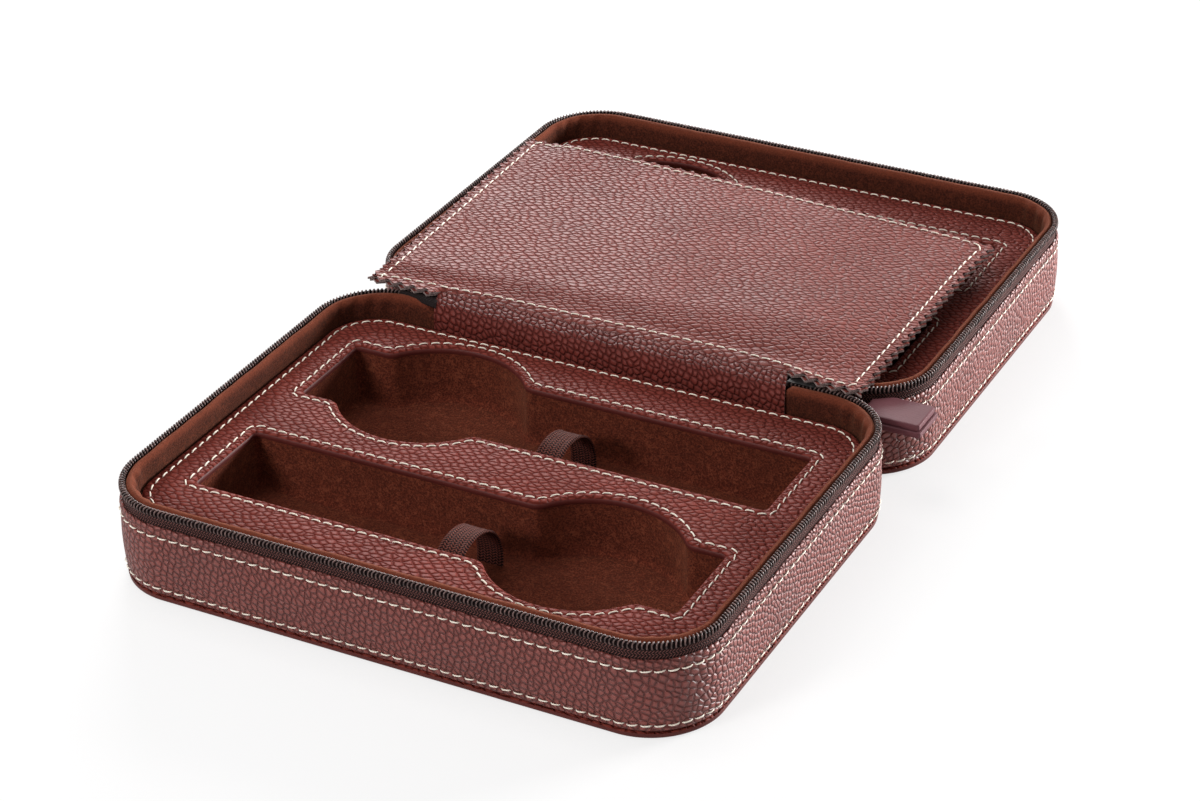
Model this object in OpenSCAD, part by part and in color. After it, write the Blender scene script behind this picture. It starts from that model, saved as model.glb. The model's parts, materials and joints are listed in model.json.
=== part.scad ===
// Zipped travel case for four watches. Two equal trays lie open side by side and fold together
// about a leather spine. A loose leather divider turns about the same spine.
// The origin is the centre of the base tray's underside, +Y runs from the base to the lid, +Z is up.

/* [Trays] */
// Length of the case along its spine
case_length = 195; // [190:1:210]
// Width of one tray, from its front wall to the spine
tray_width = 150; // [146:1:160]
// Outside corner radius of a tray, seen from above
corner_r = 23; // [20:0.5:25]
// Height of the leather wall, from the table to its upper edge
wall_h = 26.2; // [25.4:0.2:28]
// Gap between the two trays when they lie open
tray_gap = 2.8; // [2.8:0.1:3.4]

/* [Shell] */
// Thickness of the outer leather on the walls
leather_t = 1.4; // [1.2:0.1:1.6]
// Thickness of the leather under the tray
bottom_t = 1.6; // [1.2:0.1:2]
// Thickness of the stiff board in the walls
wall_board_t = 2; // [1.6:0.1:2.2]
// Thickness of the stiff board in the bottom
bottom_board_t = 2; // [1.6:0.1:2.4]
// How far the underside is drawn in from the wall
bottom_inset = 1.7; // [1.2:0.1:2.2]
// Height of the rounded lower edge of the wall
edge_h = 5.5; // [4.6:0.1:6.5]

/* [Suede rim] */
// Depth from the outer wall to the suede on the two short sides
side_depth = 4.5; // [4.2:0.1:5]
// Depth from the outer wall to the suede on the two long sides
long_depth = 6.5; // [6:0.1:7]
// Depth from the outer wall to the outer side of the suede ridge
ridge_inset = 2.4; // [2.4:0.1:2.8]
// Height of the ridge above the upper edge of the leather wall
ridge_rise = 4.3; // [4:0.1:4.4]
// Height of the ridge itself
ridge_h = 3.5; // [3:0.1:3.8]

/* [Zip] */
// Width of the zip coil
coil_w = 2.1; // [1.8:0.1:2.1]
// Height of the zip coil
coil_h = 3.6; // [3.4:0.1:4]
// Depth from the outer wall to the coil
coil_inset = 0.15; // [0.1:0.05:0.2]
// Height of tape that shows between the leather and the coil
tape_show = 2.2; // [2:0.1:2.4]
// Thickness of the zip tape
tape_t = 0.6; // [0.5:0.1:0.7]
// Distance from the left wall to the end of the zip beside the spine
zip_left_inset = 34.5; // [30:0.5:38]
// Distance from the right wall to the end of the zip beside the spine
zip_right_inset = 39.5; // [38:0.5:42]
// Clearance between the two coils when the case is shut
close_gap = 0.4; // [0.3:0.1:0.6]

/* [Insert] */
// Thickness of the leather on the insert
panel_t = 1.4; // [1:0.1:1.6]
// Depth from the top of the ridge to the top of the insert
panel_drop = 6.1; // [5.8:0.1:7]
// Slot between the insert and the suede on the two long sides
panel_slot = 1.5; // [1.4:0.1:2]
// How much tighter the corners of the insert are than the corners of the suede
panel_ease = 1.5; // [0:0.25:2]
// Width of the leather strip between the two wells
middle_strip = 26.5; // [24:0.5:29]
// Length of a watch well
well_length = 158.5; // [150:0.5:162]
// Width of a watch well at the strap
well_width = 33; // [30:0.5:35]
// Leather between the round place for the watch head and the edge of the insert
head_margin = 8; // [7:0.25:12]
// Distance of the watch head from the middle of the tray
head_offset = 42.5; // [40:0.5:44]
// Radius of the fillet between the round place and the straight sides
flare_r = 5; // [3:0.5:6]
// Corner radius at the ends of a well
well_r = 2; // [1.5:0.5:3]
// Thickness of the suede lining of a well
lining_t = 1.2; // [1:0.1:1.4]

/* [Elastic bands] */
// Width of an elastic band
band_w = 8.7; // [7:0.1:12]
// Thickness of an elastic band
band_t = 1; // [0.8:0.1:1.2]
// Left edge of the band, from the middle of the tray
band_x = 1.3; // [0:0.1:3]
// Outer radius of the arch of the band
band_r = 15.5; // [14.5:0.1:15.6]
// Distance of the arch centre in front of the middle of the well
band_shift = 5.5; // [5:0.1:6]
// Depth from the top of the insert to the top of the arch
band_drop = 0.8; // [0.5:0.1:2]

/* [Spine] */
// Thickness of the spine leather over the rim
spine_t = 1.2; // [1:0.1:1.3]
// Thickness of the spine leather where it hangs inside and outside
flap_t = 1; // [0.8:0.1:1.1]
// Depth of the spine leather below the rim on the inside
spine_inner_drop = 13; // [11:0.5:16]
// Depth of the spine leather below the rim on the outside
spine_outer_drop = 8.6; // [7:0.1:10]
// Clearance between the spine leather and the divider
spine_clear = 0.4; // [0.3:0.1:0.5]
// Clearance between the spine leather and the hinge line
spine_side_clear = 0.3; // [0.25:0.05:0.35]

/* [Divider] */
// Thickness of one leather face of the divider
divider_face_t = 0.8; // [0.7:0.05:0.85]
// Thickness of the stiffener between the faces
divider_core_t = 0.8; // [0.6:0.05:0.85]
// Distance from the left wall to the left edge of the divider
divider_left_inset = 4.5; // [4:0.5:8]
// Distance from the right wall to the right edge of the divider
divider_right_inset = 14.5; // [10:0.5:18]
// Distance of the far edge of the divider from the spine
divider_reach = 112.6; // [100:0.2:118]
// Distance from the spine to where the divider widens past the zip
neck_length = 6; // [5.6:0.1:7]
// Inset of the stiffener from the edges of the leather
core_margin = 6; // [4:0.5:8]

/* [Zip pull] */
// Length of the slider
slider_length = 9; // [8:0.5:10]
// Thickness of the slider's plates
slider_t = 0.85; // [0.8:0.05:0.9]
// Distance of the slider from the right end of the zip at rest
slider_rest = 1; // [1:0.5:2]
// Distance that the slider runs on the straight end of the zip
slider_travel = 6; // [4:0.5:6]
// Radius of the pin that carries the pull
pin_r = 0.9; // [0.8:0.05:1]
// Clearance of the pull on its pin
pin_clear = 0.05; // [0.04:0.01:0.08]
// Width of the metal link between the slider and the leather tab
link_t = 1; // [0.8:0.05:1.1]
// Height of the metal link
link_h = 1.6; // [1.4:0.1:1.8]
// Width of the leather pull tab
tab_w = 14; // [12:0.5:14.5]
// Thickness of each of the two leather layers of the tab
tab_layer_t = 2.25; // [2:0.05:2.3]
// Length of the leather tab
tab_length = 20.5; // [19:0.5:24]
// Length of the tapered inner end of the tab
tab_taper = 8.7; // [8.5:0.1:10]
// Width of the tab at its inner end
tab_neck_w = 3.4; // [3:0.1:3.6]
// Distance from the right wall to the inner end of the tab
tab_inset = 13.5; // [12:0.5:13.5]

/* [Hidden] */
$fn = 96;

leather_colour = [0.36, 0.2, 0.18];
suede_colour = [0.45, 0.24, 0.14];
board_colour = [0.55, 0.5, 0.45];
tape_colour = [0.16, 0.12, 0.12];
coil_colour = [0.1, 0.07, 0.07];
band_colour = [0.33, 0.16, 0.13];
metal_colour = [0.3, 0.26, 0.25];

cut = 1;
half_x = case_length / 2;
half_y = tray_width / 2;
floor_z = bottom_t + bottom_board_t;
wall_in = leather_t + wall_board_t;
coil_z = wall_h + tape_show;
rim_z = coil_z + coil_h;
hinge_z = rim_z + close_gap / 2;
hinge_y = half_y + tray_gap / 2;
lid_y = 2 * hinge_y;
tape_inset = leather_t - tape_t;
edge_bulge = 0.3;

ridge_top_z = wall_h + ridge_rise;
ridge_base_z = ridge_top_z - ridge_h;
inner_y = half_y - long_depth;

zip_left = half_x - zip_left_inset;
zip_right = half_x - zip_right_inset;
end_clear = 1;
spine_left = zip_left - end_clear;
spine_right = zip_right - end_clear;

divider_t = 2 * divider_face_t + divider_core_t;
divider_left = half_x - divider_left_inset;
divider_right = half_x - divider_right_inset;
divider_clear = 0.8;
divider_edge = coil_inset + coil_w + divider_clear;
neck_left = spine_left - end_clear;
neck_right = spine_right - end_clear;

spine_top_z = hinge_z - divider_t / 2 - spine_clear;
spine_base_z = spine_top_z - spine_t;
spine_outer_t = tray_gap / 2 - spine_side_clear;

panel_clear = 0.2;
panel_x = half_x - side_depth - panel_clear;
panel_y = inner_y - panel_slot;
panel_r = corner_r - side_depth - panel_ease;
panel_z = ridge_top_z - panel_drop;
panel_base_z = panel_z - panel_t;
well_offset = (middle_strip + well_width) / 2;
head_r = panel_y - well_offset - head_margin;
lining_clear = 0.1;
flare_bite = 0.02;
band_z = panel_z - band_drop - band_r;

slider_clear = 0.15;
slider_x = zip_right + slider_rest;
slider_end = slider_x + slider_length;
slider_wall_y = half_y - coil_inset + slider_clear;
slider_outer_y = hinge_y - slider_clear;
slider_z0 = coil_z - slider_clear - slider_t;
slider_z1 = rim_z + slider_clear + slider_t;
lid_zip_right = slider_end + slider_travel + end_clear;
eye_wall = 0.8;
eye_r = pin_r + eye_wall;
eye_clear = 0.3;
pin_x = slider_end + eye_r + eye_clear;
pin_z = wall_h;
pin_head_rim = 0.4;
pin_head_t = 0.35;
cheek_t = 0.7;
cheek_y = half_y + slider_clear;
link_y = cheek_y + cheek_t + slider_clear;
pin_end_y = link_y + link_t + slider_clear;
tab_x = half_x - tab_inset;
link_grip = 5;
link_end_x = tab_x + link_grip;

// Rounded rectangle about the origin, by its half sizes and corner radius
module rounded_rectangle(hx, hy, r) {
    square([2 * hx, 2 * (hy - r)], center = true);
    square([2 * (hx - r), 2 * hy], center = true);
    for (sx = [-1, 1], sy = [-1, 1])
        translate([sx * (hx - r), sy * (hy - r)]) circle(r);
}

// Upright slab with the tray's outline, drawn in from it by an inset
module tray_slab(inset, z0, z1) {
    translate([0, 0, z0])
        linear_extrude(z1 - z0)
            rounded_rectangle(half_x - inset, half_y - inset, corner_r - inset);
}

// Slab with the outline of the suede's inner face
module inner_slab(z0, z1) {
    translate([0, 0, z0])
        linear_extrude(z1 - z0)
            rounded_rectangle(half_x - side_depth, inner_y, corner_r - side_depth);
}

// Profile carried round the tray's outline, x = 0 on the outline and less than 0 inside it
module around_tray() {
    side = half_y - corner_r;
    long = half_x - corner_r;
    for (turn = [0, 180]) rotate(turn) {
        translate([long, side]) rotate_extrude(angle = 90) translate([corner_r, 0]) children();
        translate([-long, side]) rotate(90)
            rotate_extrude(angle = 90) translate([corner_r, 0]) children();
        translate([half_x, side]) rotate([90, 0, 0]) linear_extrude(2 * side) children();
        translate([-long, half_y]) rotate([90, 0, 90]) linear_extrude(2 * long) children();
    }
}

// The lid's shell is the base's shell mirrored across the spine
module on_tray(is_lid) {
    if (is_lid) translate([0, lid_y, 0]) mirror([0, 1, 0]) children();
    else children();
}

// The insert is the same way round in both trays
module in_tray(is_lid) {
    translate([0, is_lid ? lid_y : 0, 0]) children();
}

// Space beside the spine where the zip is left out
module spine_zone(left, right, z0, z1) {
    translate([-left, inner_y - cut, z0]) cube([left + right, long_depth + 2 * cut, z1 - z0]);
}

module bottom_leather(is_lid) {
    color(leather_colour) on_tray(is_lid) tray_slab(bottom_inset, 0, bottom_t);
}

module bottom_board(is_lid) {
    color(board_colour) on_tray(is_lid) tray_slab(wall_in, bottom_t, floor_z);
}

module wall_leather(is_lid) {
    color(leather_colour) on_tray(is_lid) around_tray()
        polygon([[-bottom_inset, bottom_t], [-bottom_inset * edge_bulge, (bottom_t + edge_h) / 2],
            [0, edge_h], [0, wall_h], [-leather_t, wall_h], [-leather_t, floor_z],
            [-wall_in, floor_z], [-wall_in, bottom_t]]);
}

module wall_board(is_lid) {
    color(board_colour) on_tray(is_lid) difference() {
        tray_slab(leather_t, floor_z, ridge_base_z);
        tray_slab(wall_in, floor_z - cut, ridge_base_z + cut);
    }
}

module rim_suede(is_lid) {
    color(suede_colour) on_tray(is_lid) difference() {
        union() {
            tray_slab(wall_in, floor_z, ridge_base_z);
            tray_slab(ridge_inset, ridge_base_z, ridge_top_z);
        }
        inner_slab(floor_z - cut, ridge_top_z + cut);
        spine_zone(spine_left, spine_right, spine_base_z, ridge_top_z + cut);
    }
}

module zip_tape(is_lid) {
    color(tape_colour) on_tray(is_lid) difference() {
        tray_slab(tape_inset, wall_h, coil_z);
        tray_slab(leather_t, wall_h - cut, coil_z + cut);
        spine_zone(zip_left, is_lid ? lid_zip_right : zip_right, wall_h - cut, coil_z + cut);
    }
}

module zip_coil(is_lid) {
    color(coil_colour) on_tray(is_lid) difference() {
        tray_slab(coil_inset, coil_z, rim_z);
        tray_slab(coil_inset + coil_w, coil_z - cut, rim_z + cut);
        spine_zone(zip_left, is_lid ? lid_zip_right : zip_right, coil_z - cut, rim_z + cut);
    }
}

// Leather strip laid over the rim at the spine, tucked in behind the insert
module spine_leather(is_lid) {
    color(leather_colour) on_tray(is_lid) translate([-spine_left, 0, 0]) {
        width = spine_left + spine_right;
        inner_face = inner_y - flap_t;
        outer_face = half_y + spine_outer_t;
        translate([0, inner_face, spine_base_z])
            cube([width, outer_face - inner_face, spine_t]);
        translate([0, inner_face, spine_top_z - spine_inner_drop])
            cube([width, flap_t, spine_inner_drop]);
        translate([0, half_y, spine_top_z - spine_outer_drop])
            cube([width, spine_outer_t, spine_outer_drop]);
    }
}

// Fillet between the round place and the straight side of a well
module flare(grow) {
    f = flare_r - grow;
    fy = well_width / 2 + grow + f - flare_bite;
    fx = sqrt(pow(head_r + grow + f - flare_bite, 2) - pow(fy, 2));
    difference() {
        polygon([[0, 0], [fx, 0], [fx, fy]]);
        translate([fx, fy]) circle(f);
    }
}

// Outline of a well: a slot for the strap with a round place for the watch head
module well_outline(grow) {
    rounded_rectangle(well_length / 2 + grow, well_width / 2 + grow, well_r + grow);
    translate([-head_offset, 0]) {
        circle(head_r + grow);
        for (mx = [0, 1], my = [0, 1]) mirror([mx, 0]) mirror([0, my]) flare(grow);
    }
}

// The rear well has its round place on the left, the front well on the right
module at_well(is_rear) {
    if (is_rear) translate([0, well_offset, 0]) children();
    else rotate(180) translate([0, well_offset, 0]) children();
}

module wells(grow, z0, z1) {
    for (is_rear = [false, true]) at_well(is_rear)
        translate([0, 0, z0]) linear_extrude(z1 - z0) well_outline(grow);
}

module insert_slab(z0, z1) {
    translate([0, 0, z0]) linear_extrude(z1 - z0) rounded_rectangle(panel_x, panel_y, panel_r);
}

module insert_foam(is_lid) {
    color(board_colour) in_tray(is_lid) difference() {
        insert_slab(floor_z, panel_base_z);
        wells(lining_t + lining_clear, floor_z - cut, panel_base_z + cut);
    }
}

module insert_leather(is_lid) {
    color(leather_colour) in_tray(is_lid) difference() {
        insert_slab(panel_base_z, panel_z);
        wells(0, panel_base_z - cut, panel_z + cut);
    }
}

module well_lining(is_lid, is_rear) {
    color(suede_colour) in_tray(is_lid) at_well(is_rear) translate([0, 0, floor_z]) difference() {
        linear_extrude(panel_base_z - floor_z) well_outline(lining_t);
        translate([0, 0, lining_t]) linear_extrude(panel_base_z) well_outline(0);
    }
}

// Elastic band arched across a well, from its front wall to its floor
module elastic_band(is_lid, is_rear) {
    well_y = is_rear ? well_offset : -well_offset;
    front = well_width / 2 - band_shift;
    bottom = band_z - floor_z - lining_t;
    color(band_colour) in_tray(is_lid)
        translate([band_x, well_y - band_shift, band_z]) rotate([90, 0, 90])
            linear_extrude(band_w) intersection() {
                difference() {
                    circle(band_r);
                    circle(band_r - band_t);
                }
                translate([-front, -bottom]) square(2 * band_r + front);
            }
}

// Outline of the divider, drawn from the hinge line, with a neck that clears the ends of the zip
module divider_outline() {
    translate([-neck_left, 0]) square([neck_left + neck_right, neck_length + cut]);
    intersection() {
        translate([-divider_left, neck_length])
            square([divider_left + divider_right, divider_reach - neck_length]);
        translate([0, hinge_y])
            rounded_rectangle(half_x - divider_edge, half_y - divider_edge, corner_r - divider_edge);
    }
}

module at_hinge(z) {
    translate([0, hinge_y, hinge_z + z]) children();
}

module divider_upper_leather() {
    color(leather_colour) at_hinge(divider_core_t / 2)
        linear_extrude(divider_face_t) divider_outline();
}

module divider_lower_leather() {
    color(leather_colour) at_hinge(-divider_core_t / 2 - divider_face_t)
        linear_extrude(divider_face_t) divider_outline();
}

module divider_stiffener() {
    start = corner_r;
    color(board_colour) at_hinge(-divider_core_t / 2)
        translate([-divider_left + core_margin, start, 0])
            cube([divider_left + divider_right - 2 * core_margin,
                divider_reach - core_margin - start, divider_core_t]);
}

// Cylinder along Y from y0 to y1 at a given X and Z
module pin(x, z, r, y0, y1) {
    translate([x, y1, z]) rotate([90, 0, 0]) cylinder(y1 - y0, r, r);
}

// The slider hooks round the base's coil and carries the pull on a pin
module zip_slider() {
    top_y = half_y - coil_inset - coil_w + slider_clear;
    foot_y = half_y - tape_inset + slider_clear;
    color(metal_colour) {
        translate([slider_x, top_y, slider_z1 - slider_t])
            cube([slider_length, slider_outer_y - top_y, slider_t]);
        translate([slider_x, slider_wall_y, slider_z0])
            cube([slider_length, slider_outer_y - slider_wall_y, slider_z1 - slider_z0]);
        translate([slider_x, foot_y, slider_z0])
            cube([slider_length, slider_outer_y - foot_y, slider_t]);
        translate([slider_x, cheek_y, pin_z - eye_r])
            cube([pin_x - slider_x + eye_r, cheek_t, slider_z0 + slider_t - pin_z + eye_r]);
        pin(pin_x, pin_z, pin_r, cheek_y, pin_end_y + pin_head_t);
        pin(pin_x, pin_z, pin_r + pin_head_rim, pin_end_y, pin_end_y + pin_head_t);
    }
}

module pull_link() {
    color(metal_colour) difference() {
        union() {
            pin(pin_x, pin_z, eye_r, link_y, link_y + link_t);
            translate([pin_x, link_y, pin_z - link_h / 2])
                cube([link_end_x - pin_x, link_t, link_h]);
        }
        pin(pin_x, pin_z, pin_r + pin_clear, link_y - cut, link_y + link_t + cut);
    }
}

// One leather layer of the pull tab, grooved for the link
module tab_layer(z0) {
    color(leather_colour) difference() {
        translate([tab_x, hinge_y, z0]) linear_extrude(tab_layer_t)
            polygon([[0, -tab_neck_w / 2], [tab_taper, -tab_w / 2], [tab_length, -tab_w / 2],
                [tab_length, tab_w / 2], [tab_taper, tab_w / 2], [0, tab_neck_w / 2]]);
        translate([tab_x - cut, link_y - pin_clear, pin_z - link_h / 2 - pin_clear])
            cube([link_end_x - tab_x + cut + pin_clear, link_t + 2 * pin_clear,
                link_h + 2 * pin_clear]);
    }
}

module pull_tab_upper() { tab_layer(pin_z); }
module pull_tab_lower() { tab_layer(pin_z - tab_layer_t); }

bottom_leather(false);  // base_bottom_leather
bottom_board(false);  // base_bottom_board
wall_leather(false);  // base_wall_leather
wall_board(false);  // base_wall_board
rim_suede(false);  // base_rim_suede
zip_tape(false);  // base_zip_tape
zip_coil(false);  // base_zip_coil
spine_leather(false);  // base_spine_leather
insert_foam(false);  // base_insert_foam
insert_leather(false);  // base_insert_leather
well_lining(false, false);  // base_well_front
well_lining(false, true);  // base_well_rear
elastic_band(false, false);  // base_band_front
elastic_band(false, true);  // base_band_rear
bottom_leather(true);  // lid_bottom_leather
bottom_board(true);  // lid_bottom_board
wall_leather(true);  // lid_wall_leather
wall_board(true);  // lid_wall_board
rim_suede(true);  // lid_rim_suede
zip_tape(true);  // lid_zip_tape
zip_coil(true);  // lid_zip_coil
spine_leather(true);  // lid_spine_leather
insert_foam(true);  // lid_insert_foam
insert_leather(true);  // lid_insert_leather
well_lining(true, false);  // lid_well_front
well_lining(true, true);  // lid_well_rear
elastic_band(true, false);  // lid_band_front
elastic_band(true, true);  // lid_band_rear
divider_upper_leather();
divider_stiffener();
divider_lower_leather();
zip_slider();
pull_link();
pull_tab_upper();
pull_tab_lower();
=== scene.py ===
import json
import math

import bmesh
import bpy
from mathutils import Matrix, Vector
from mathutils.geometry import tessellate_polygon

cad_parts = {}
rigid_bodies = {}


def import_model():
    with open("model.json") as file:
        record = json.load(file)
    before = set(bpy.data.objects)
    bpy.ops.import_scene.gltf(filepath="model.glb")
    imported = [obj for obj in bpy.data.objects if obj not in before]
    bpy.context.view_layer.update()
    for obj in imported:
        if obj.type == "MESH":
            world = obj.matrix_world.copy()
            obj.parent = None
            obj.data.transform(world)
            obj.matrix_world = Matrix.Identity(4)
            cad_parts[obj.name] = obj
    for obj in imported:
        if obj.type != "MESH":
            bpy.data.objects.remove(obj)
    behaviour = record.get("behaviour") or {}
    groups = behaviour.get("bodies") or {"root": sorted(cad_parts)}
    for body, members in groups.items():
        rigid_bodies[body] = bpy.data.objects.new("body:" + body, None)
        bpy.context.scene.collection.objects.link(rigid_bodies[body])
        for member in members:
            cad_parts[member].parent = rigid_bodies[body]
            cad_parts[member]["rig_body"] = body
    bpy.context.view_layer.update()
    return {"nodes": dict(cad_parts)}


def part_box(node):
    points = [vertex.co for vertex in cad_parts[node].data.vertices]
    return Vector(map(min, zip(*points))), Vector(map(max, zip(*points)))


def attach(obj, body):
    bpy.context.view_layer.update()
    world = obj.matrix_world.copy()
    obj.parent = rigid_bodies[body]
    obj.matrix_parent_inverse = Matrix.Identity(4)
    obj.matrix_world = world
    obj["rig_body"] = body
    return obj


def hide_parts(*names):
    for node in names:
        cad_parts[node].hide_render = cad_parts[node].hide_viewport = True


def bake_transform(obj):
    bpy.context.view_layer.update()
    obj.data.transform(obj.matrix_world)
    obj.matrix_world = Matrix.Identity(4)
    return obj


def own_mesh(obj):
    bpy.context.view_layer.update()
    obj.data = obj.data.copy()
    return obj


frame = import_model()

MM = 0.001


def box_mm(node):
    low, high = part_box(node)
    return [v / MM for v in low], [v / MM for v in high]


# ---- Sizes in millimetres, read from the frame where it holds them

HALF_X, HALF_Y, _ = box_mm("base_wall_leather")[1]
LID_Y = sum(corner[1] for corner in box_mm("lid_wall_leather")) / 2
HINGE_Y = LID_Y / 2
COIL_Z, RIM_Z = (corner[2] for corner in box_mm("base_zip_coil"))
PANEL_X, PANEL_Y, PANEL_Z = box_mm("base_insert_leather")[1]
RIDGE_Z = box_mm("base_rim_suede")[1][2]
WELL_UNDER = box_mm("base_well_rear")[0][2]
spine_low, spine_high = box_mm("base_spine_leather")

# Trays: corners, and the longest step along an outline
CORNER_R = 23.0
PANEL_R = 17.0
STEP = 1.1

# Zip: place and width of its coil, its teeth, and how far each half runs left and right of the
# middle behind the corners
COIL_INSET = 0.15
COIL_W = 2.1
TOOTH_PITCH = 1.28
TOOTH_FOOT = COIL_Z + 0.75
TOOTH_TOP = RIM_Z - 0.4
TOOTH_TILT = 0.04
ZIP_ENDS = {"base": (76.5, spine_high[0] + 2.5), "lid": (5.0 - spine_low[0], 75.0)}

# Stitches: the tilt is in radians, either way at random
STITCH_PITCH = 3.9
STITCH_LENGTH = 3.1
STITCH_TILT = 0.07

# Wells: thickness of the lining, half length, half width, corners and distance from the tray's
# middle, then the round place for a watch head and the fillets beside it
LINING_THICK = 1.2
WELL_FLOOR = WELL_UNDER + LINING_THICK
WELL_A = 79.25
WELL_W = 16.5
WELL_SHARP = 1.6
WELL_Y = 29.75
HEAD_R = 29.25
HEAD_X = -42.5
FLARE_R = 5.0

# Spine strip: its ends left and right, how far they lean, and half its width
STRIP_LEFT, STRIP_RIGHT = 4.3 - spine_low[0], spine_high[0] + 0.5
STRIP_LEAN = 3.0
STRIP_HALF = 8.85


def clamp(value):
    return max(0.0, min(1.0, value))


def eased(value):
    """0 below 0, 1 above 1, smooth between."""
    share = clamp(value)
    return share * share * (3.0 - 2.0 * share)


# ---- Shader maths

class Field:
    """A socket of a node tree that Python expressions work on."""

    def __init__(self, tree, socket):
        self.tree = tree
        self.socket = socket

    def math(self, operation, *others):
        node = self.tree.nodes.new("ShaderNodeMath")
        node.operation = operation
        self.tree.links.new(self.socket, node.inputs[0])
        for place, other in enumerate(others, 1):
            plug(self.tree, node.inputs[place], other)
        return Field(self.tree, node.outputs[0])

    def __add__(self, other):
        return self.math("ADD", other)

    __radd__ = __add__

    def __sub__(self, other):
        return self.math("SUBTRACT", other)

    def __rsub__(self, other):
        return self.math("MULTIPLY", -1.0).math("ADD", other)

    def __mul__(self, other):
        return self.math("MULTIPLY", other)

    __rmul__ = __mul__

    def __truediv__(self, other):
        return self.math("DIVIDE", other)

    def sin(self):
        return self.math("SINE")

    def abs(self):
        return self.math("ABSOLUTE")

    def fract(self):
        return self.math("FRACT")

    def floor(self):
        return self.math("FLOOR")

    def above(self, limit):
        return self.math("GREATER_THAN", limit)

    def smaller(self, other):
        return self.math("MINIMUM", other)

    def larger(self, other):
        return self.math("MAXIMUM", other)

    def ramp(self, low, high):
        """0 below low, 1 above high, smooth between."""
        node = self.tree.nodes.new("ShaderNodeMapRange")
        node.interpolation_type = "SMOOTHSTEP"
        self.tree.links.new(self.socket, node.inputs[0])
        node.inputs[1].default_value = low
        node.inputs[2].default_value = high
        return Field(self.tree, node.outputs[0])


def plug(tree, socket, value):
    if isinstance(value, Field):
        tree.links.new(value.socket, socket)
    else:
        socket.default_value = value


class Finish:
    """One material: a Principled shader and what feeds it."""

    def __init__(self, name, **constants):
        self.material = bpy.data.materials.new(name)
        self.material.use_nodes = True
        self.tree = self.material.node_tree
        self.shader = self.tree.nodes["Principled BSDF"]
        for socket, value in constants.items():
            self.shader.inputs[socket.replace("_", " ")].default_value = value

    def node(self, kind, settings=None, values=None, output=0):
        node = self.tree.nodes.new(kind)
        for name, value in (settings or {}).items():
            if name == "stops":
                self.set_stops(node, value)
            else:
                setattr(node, name, value)
        for name, value in (values or {}).items():
            plug(self.tree, node.inputs[name], value)
        return Field(self.tree, node.outputs[output])

    @staticmethod
    def set_stops(node, stops):
        ramp = node.color_ramp
        while len(ramp.elements) < len(stops):
            ramp.elements.new(0.5)
        for element, (place, colour) in zip(ramp.elements, stops):
            element.position = place
            element.color = (*colour, 1.0)

    def place(self, scale=(1.0, 1.0, 1.0), turn=(0.0, 0.0, 0.0), source="Object"):
        """Coordinates in millimetres, from the object or its UV map."""
        coordinates = self.node("ShaderNodeTexCoord", output=source)
        return self.node("ShaderNodeMapping", None, {
            "Vector": coordinates, "Rotation": turn,
            "Scale": tuple(s / MM for s in scale)})

    def axes(self, vector):
        node = self.tree.nodes.new("ShaderNodeSeparateXYZ")
        self.tree.links.new(vector.socket, node.inputs[0])
        return [Field(self.tree, output) for output in node.outputs]

    def noise(self, vector, size, detail, roughness=0.5, distortion=0.0):
        """Noise from 0 to 1 whose features are about size millimetres."""
        return self.node("ShaderNodeTexNoise", None, {
            "Vector": vector, "Scale": 1.0 / size, "Detail": detail,
            "Roughness": roughness, "Distortion": distortion})

    def mix(self, amount, first, second):
        """Colour first where amount is 0, second where it is 1."""
        node = self.tree.nodes.new("ShaderNodeMix")
        node.data_type = "RGBA"
        plug(self.tree, node.inputs["Factor"], amount)
        for socket, value in ((node.inputs[6], first), (node.inputs[7], second)):
            plug(self.tree, socket, value if isinstance(value, Field) else (*value, 1.0))
        return Field(self.tree, node.outputs[2])

    def warp(self, vector, size, amount):
        """The vector pushed about by noise, so that a pattern isn't regular."""
        push = self.node("ShaderNodeTexNoise", None, {
            "Vector": vector, "Scale": 1.0 / size, "Detail": 1.0}, output="Color")
        centred = self.node("ShaderNodeVectorMath", {"operation": "SUBTRACT"},
                            {0: push, 1: (0.5, 0.5, 0.5)})
        scaled = self.node("ShaderNodeVectorMath", {"operation": "SCALE"},
                           {0: centred, "Scale": amount})
        return self.node("ShaderNodeVectorMath", {"operation": "ADD"}, {0: vector, 1: scaled})

    def relief(self, height, depth, strength=1.0, under=None):
        """Bump of height 0 to 1 that is depth millimetres deep."""
        values = {"Height": height, "Distance": depth * MM, "Strength": strength}
        if under is not None:
            values["Normal"] = under
        return self.node("ShaderNodeBump", None, values)

    def feed(self, **values):
        for socket, value in values.items():
            plug(self.tree, self.shader.inputs[socket.replace("_", " ")], value)


# ---- Finishes

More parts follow.
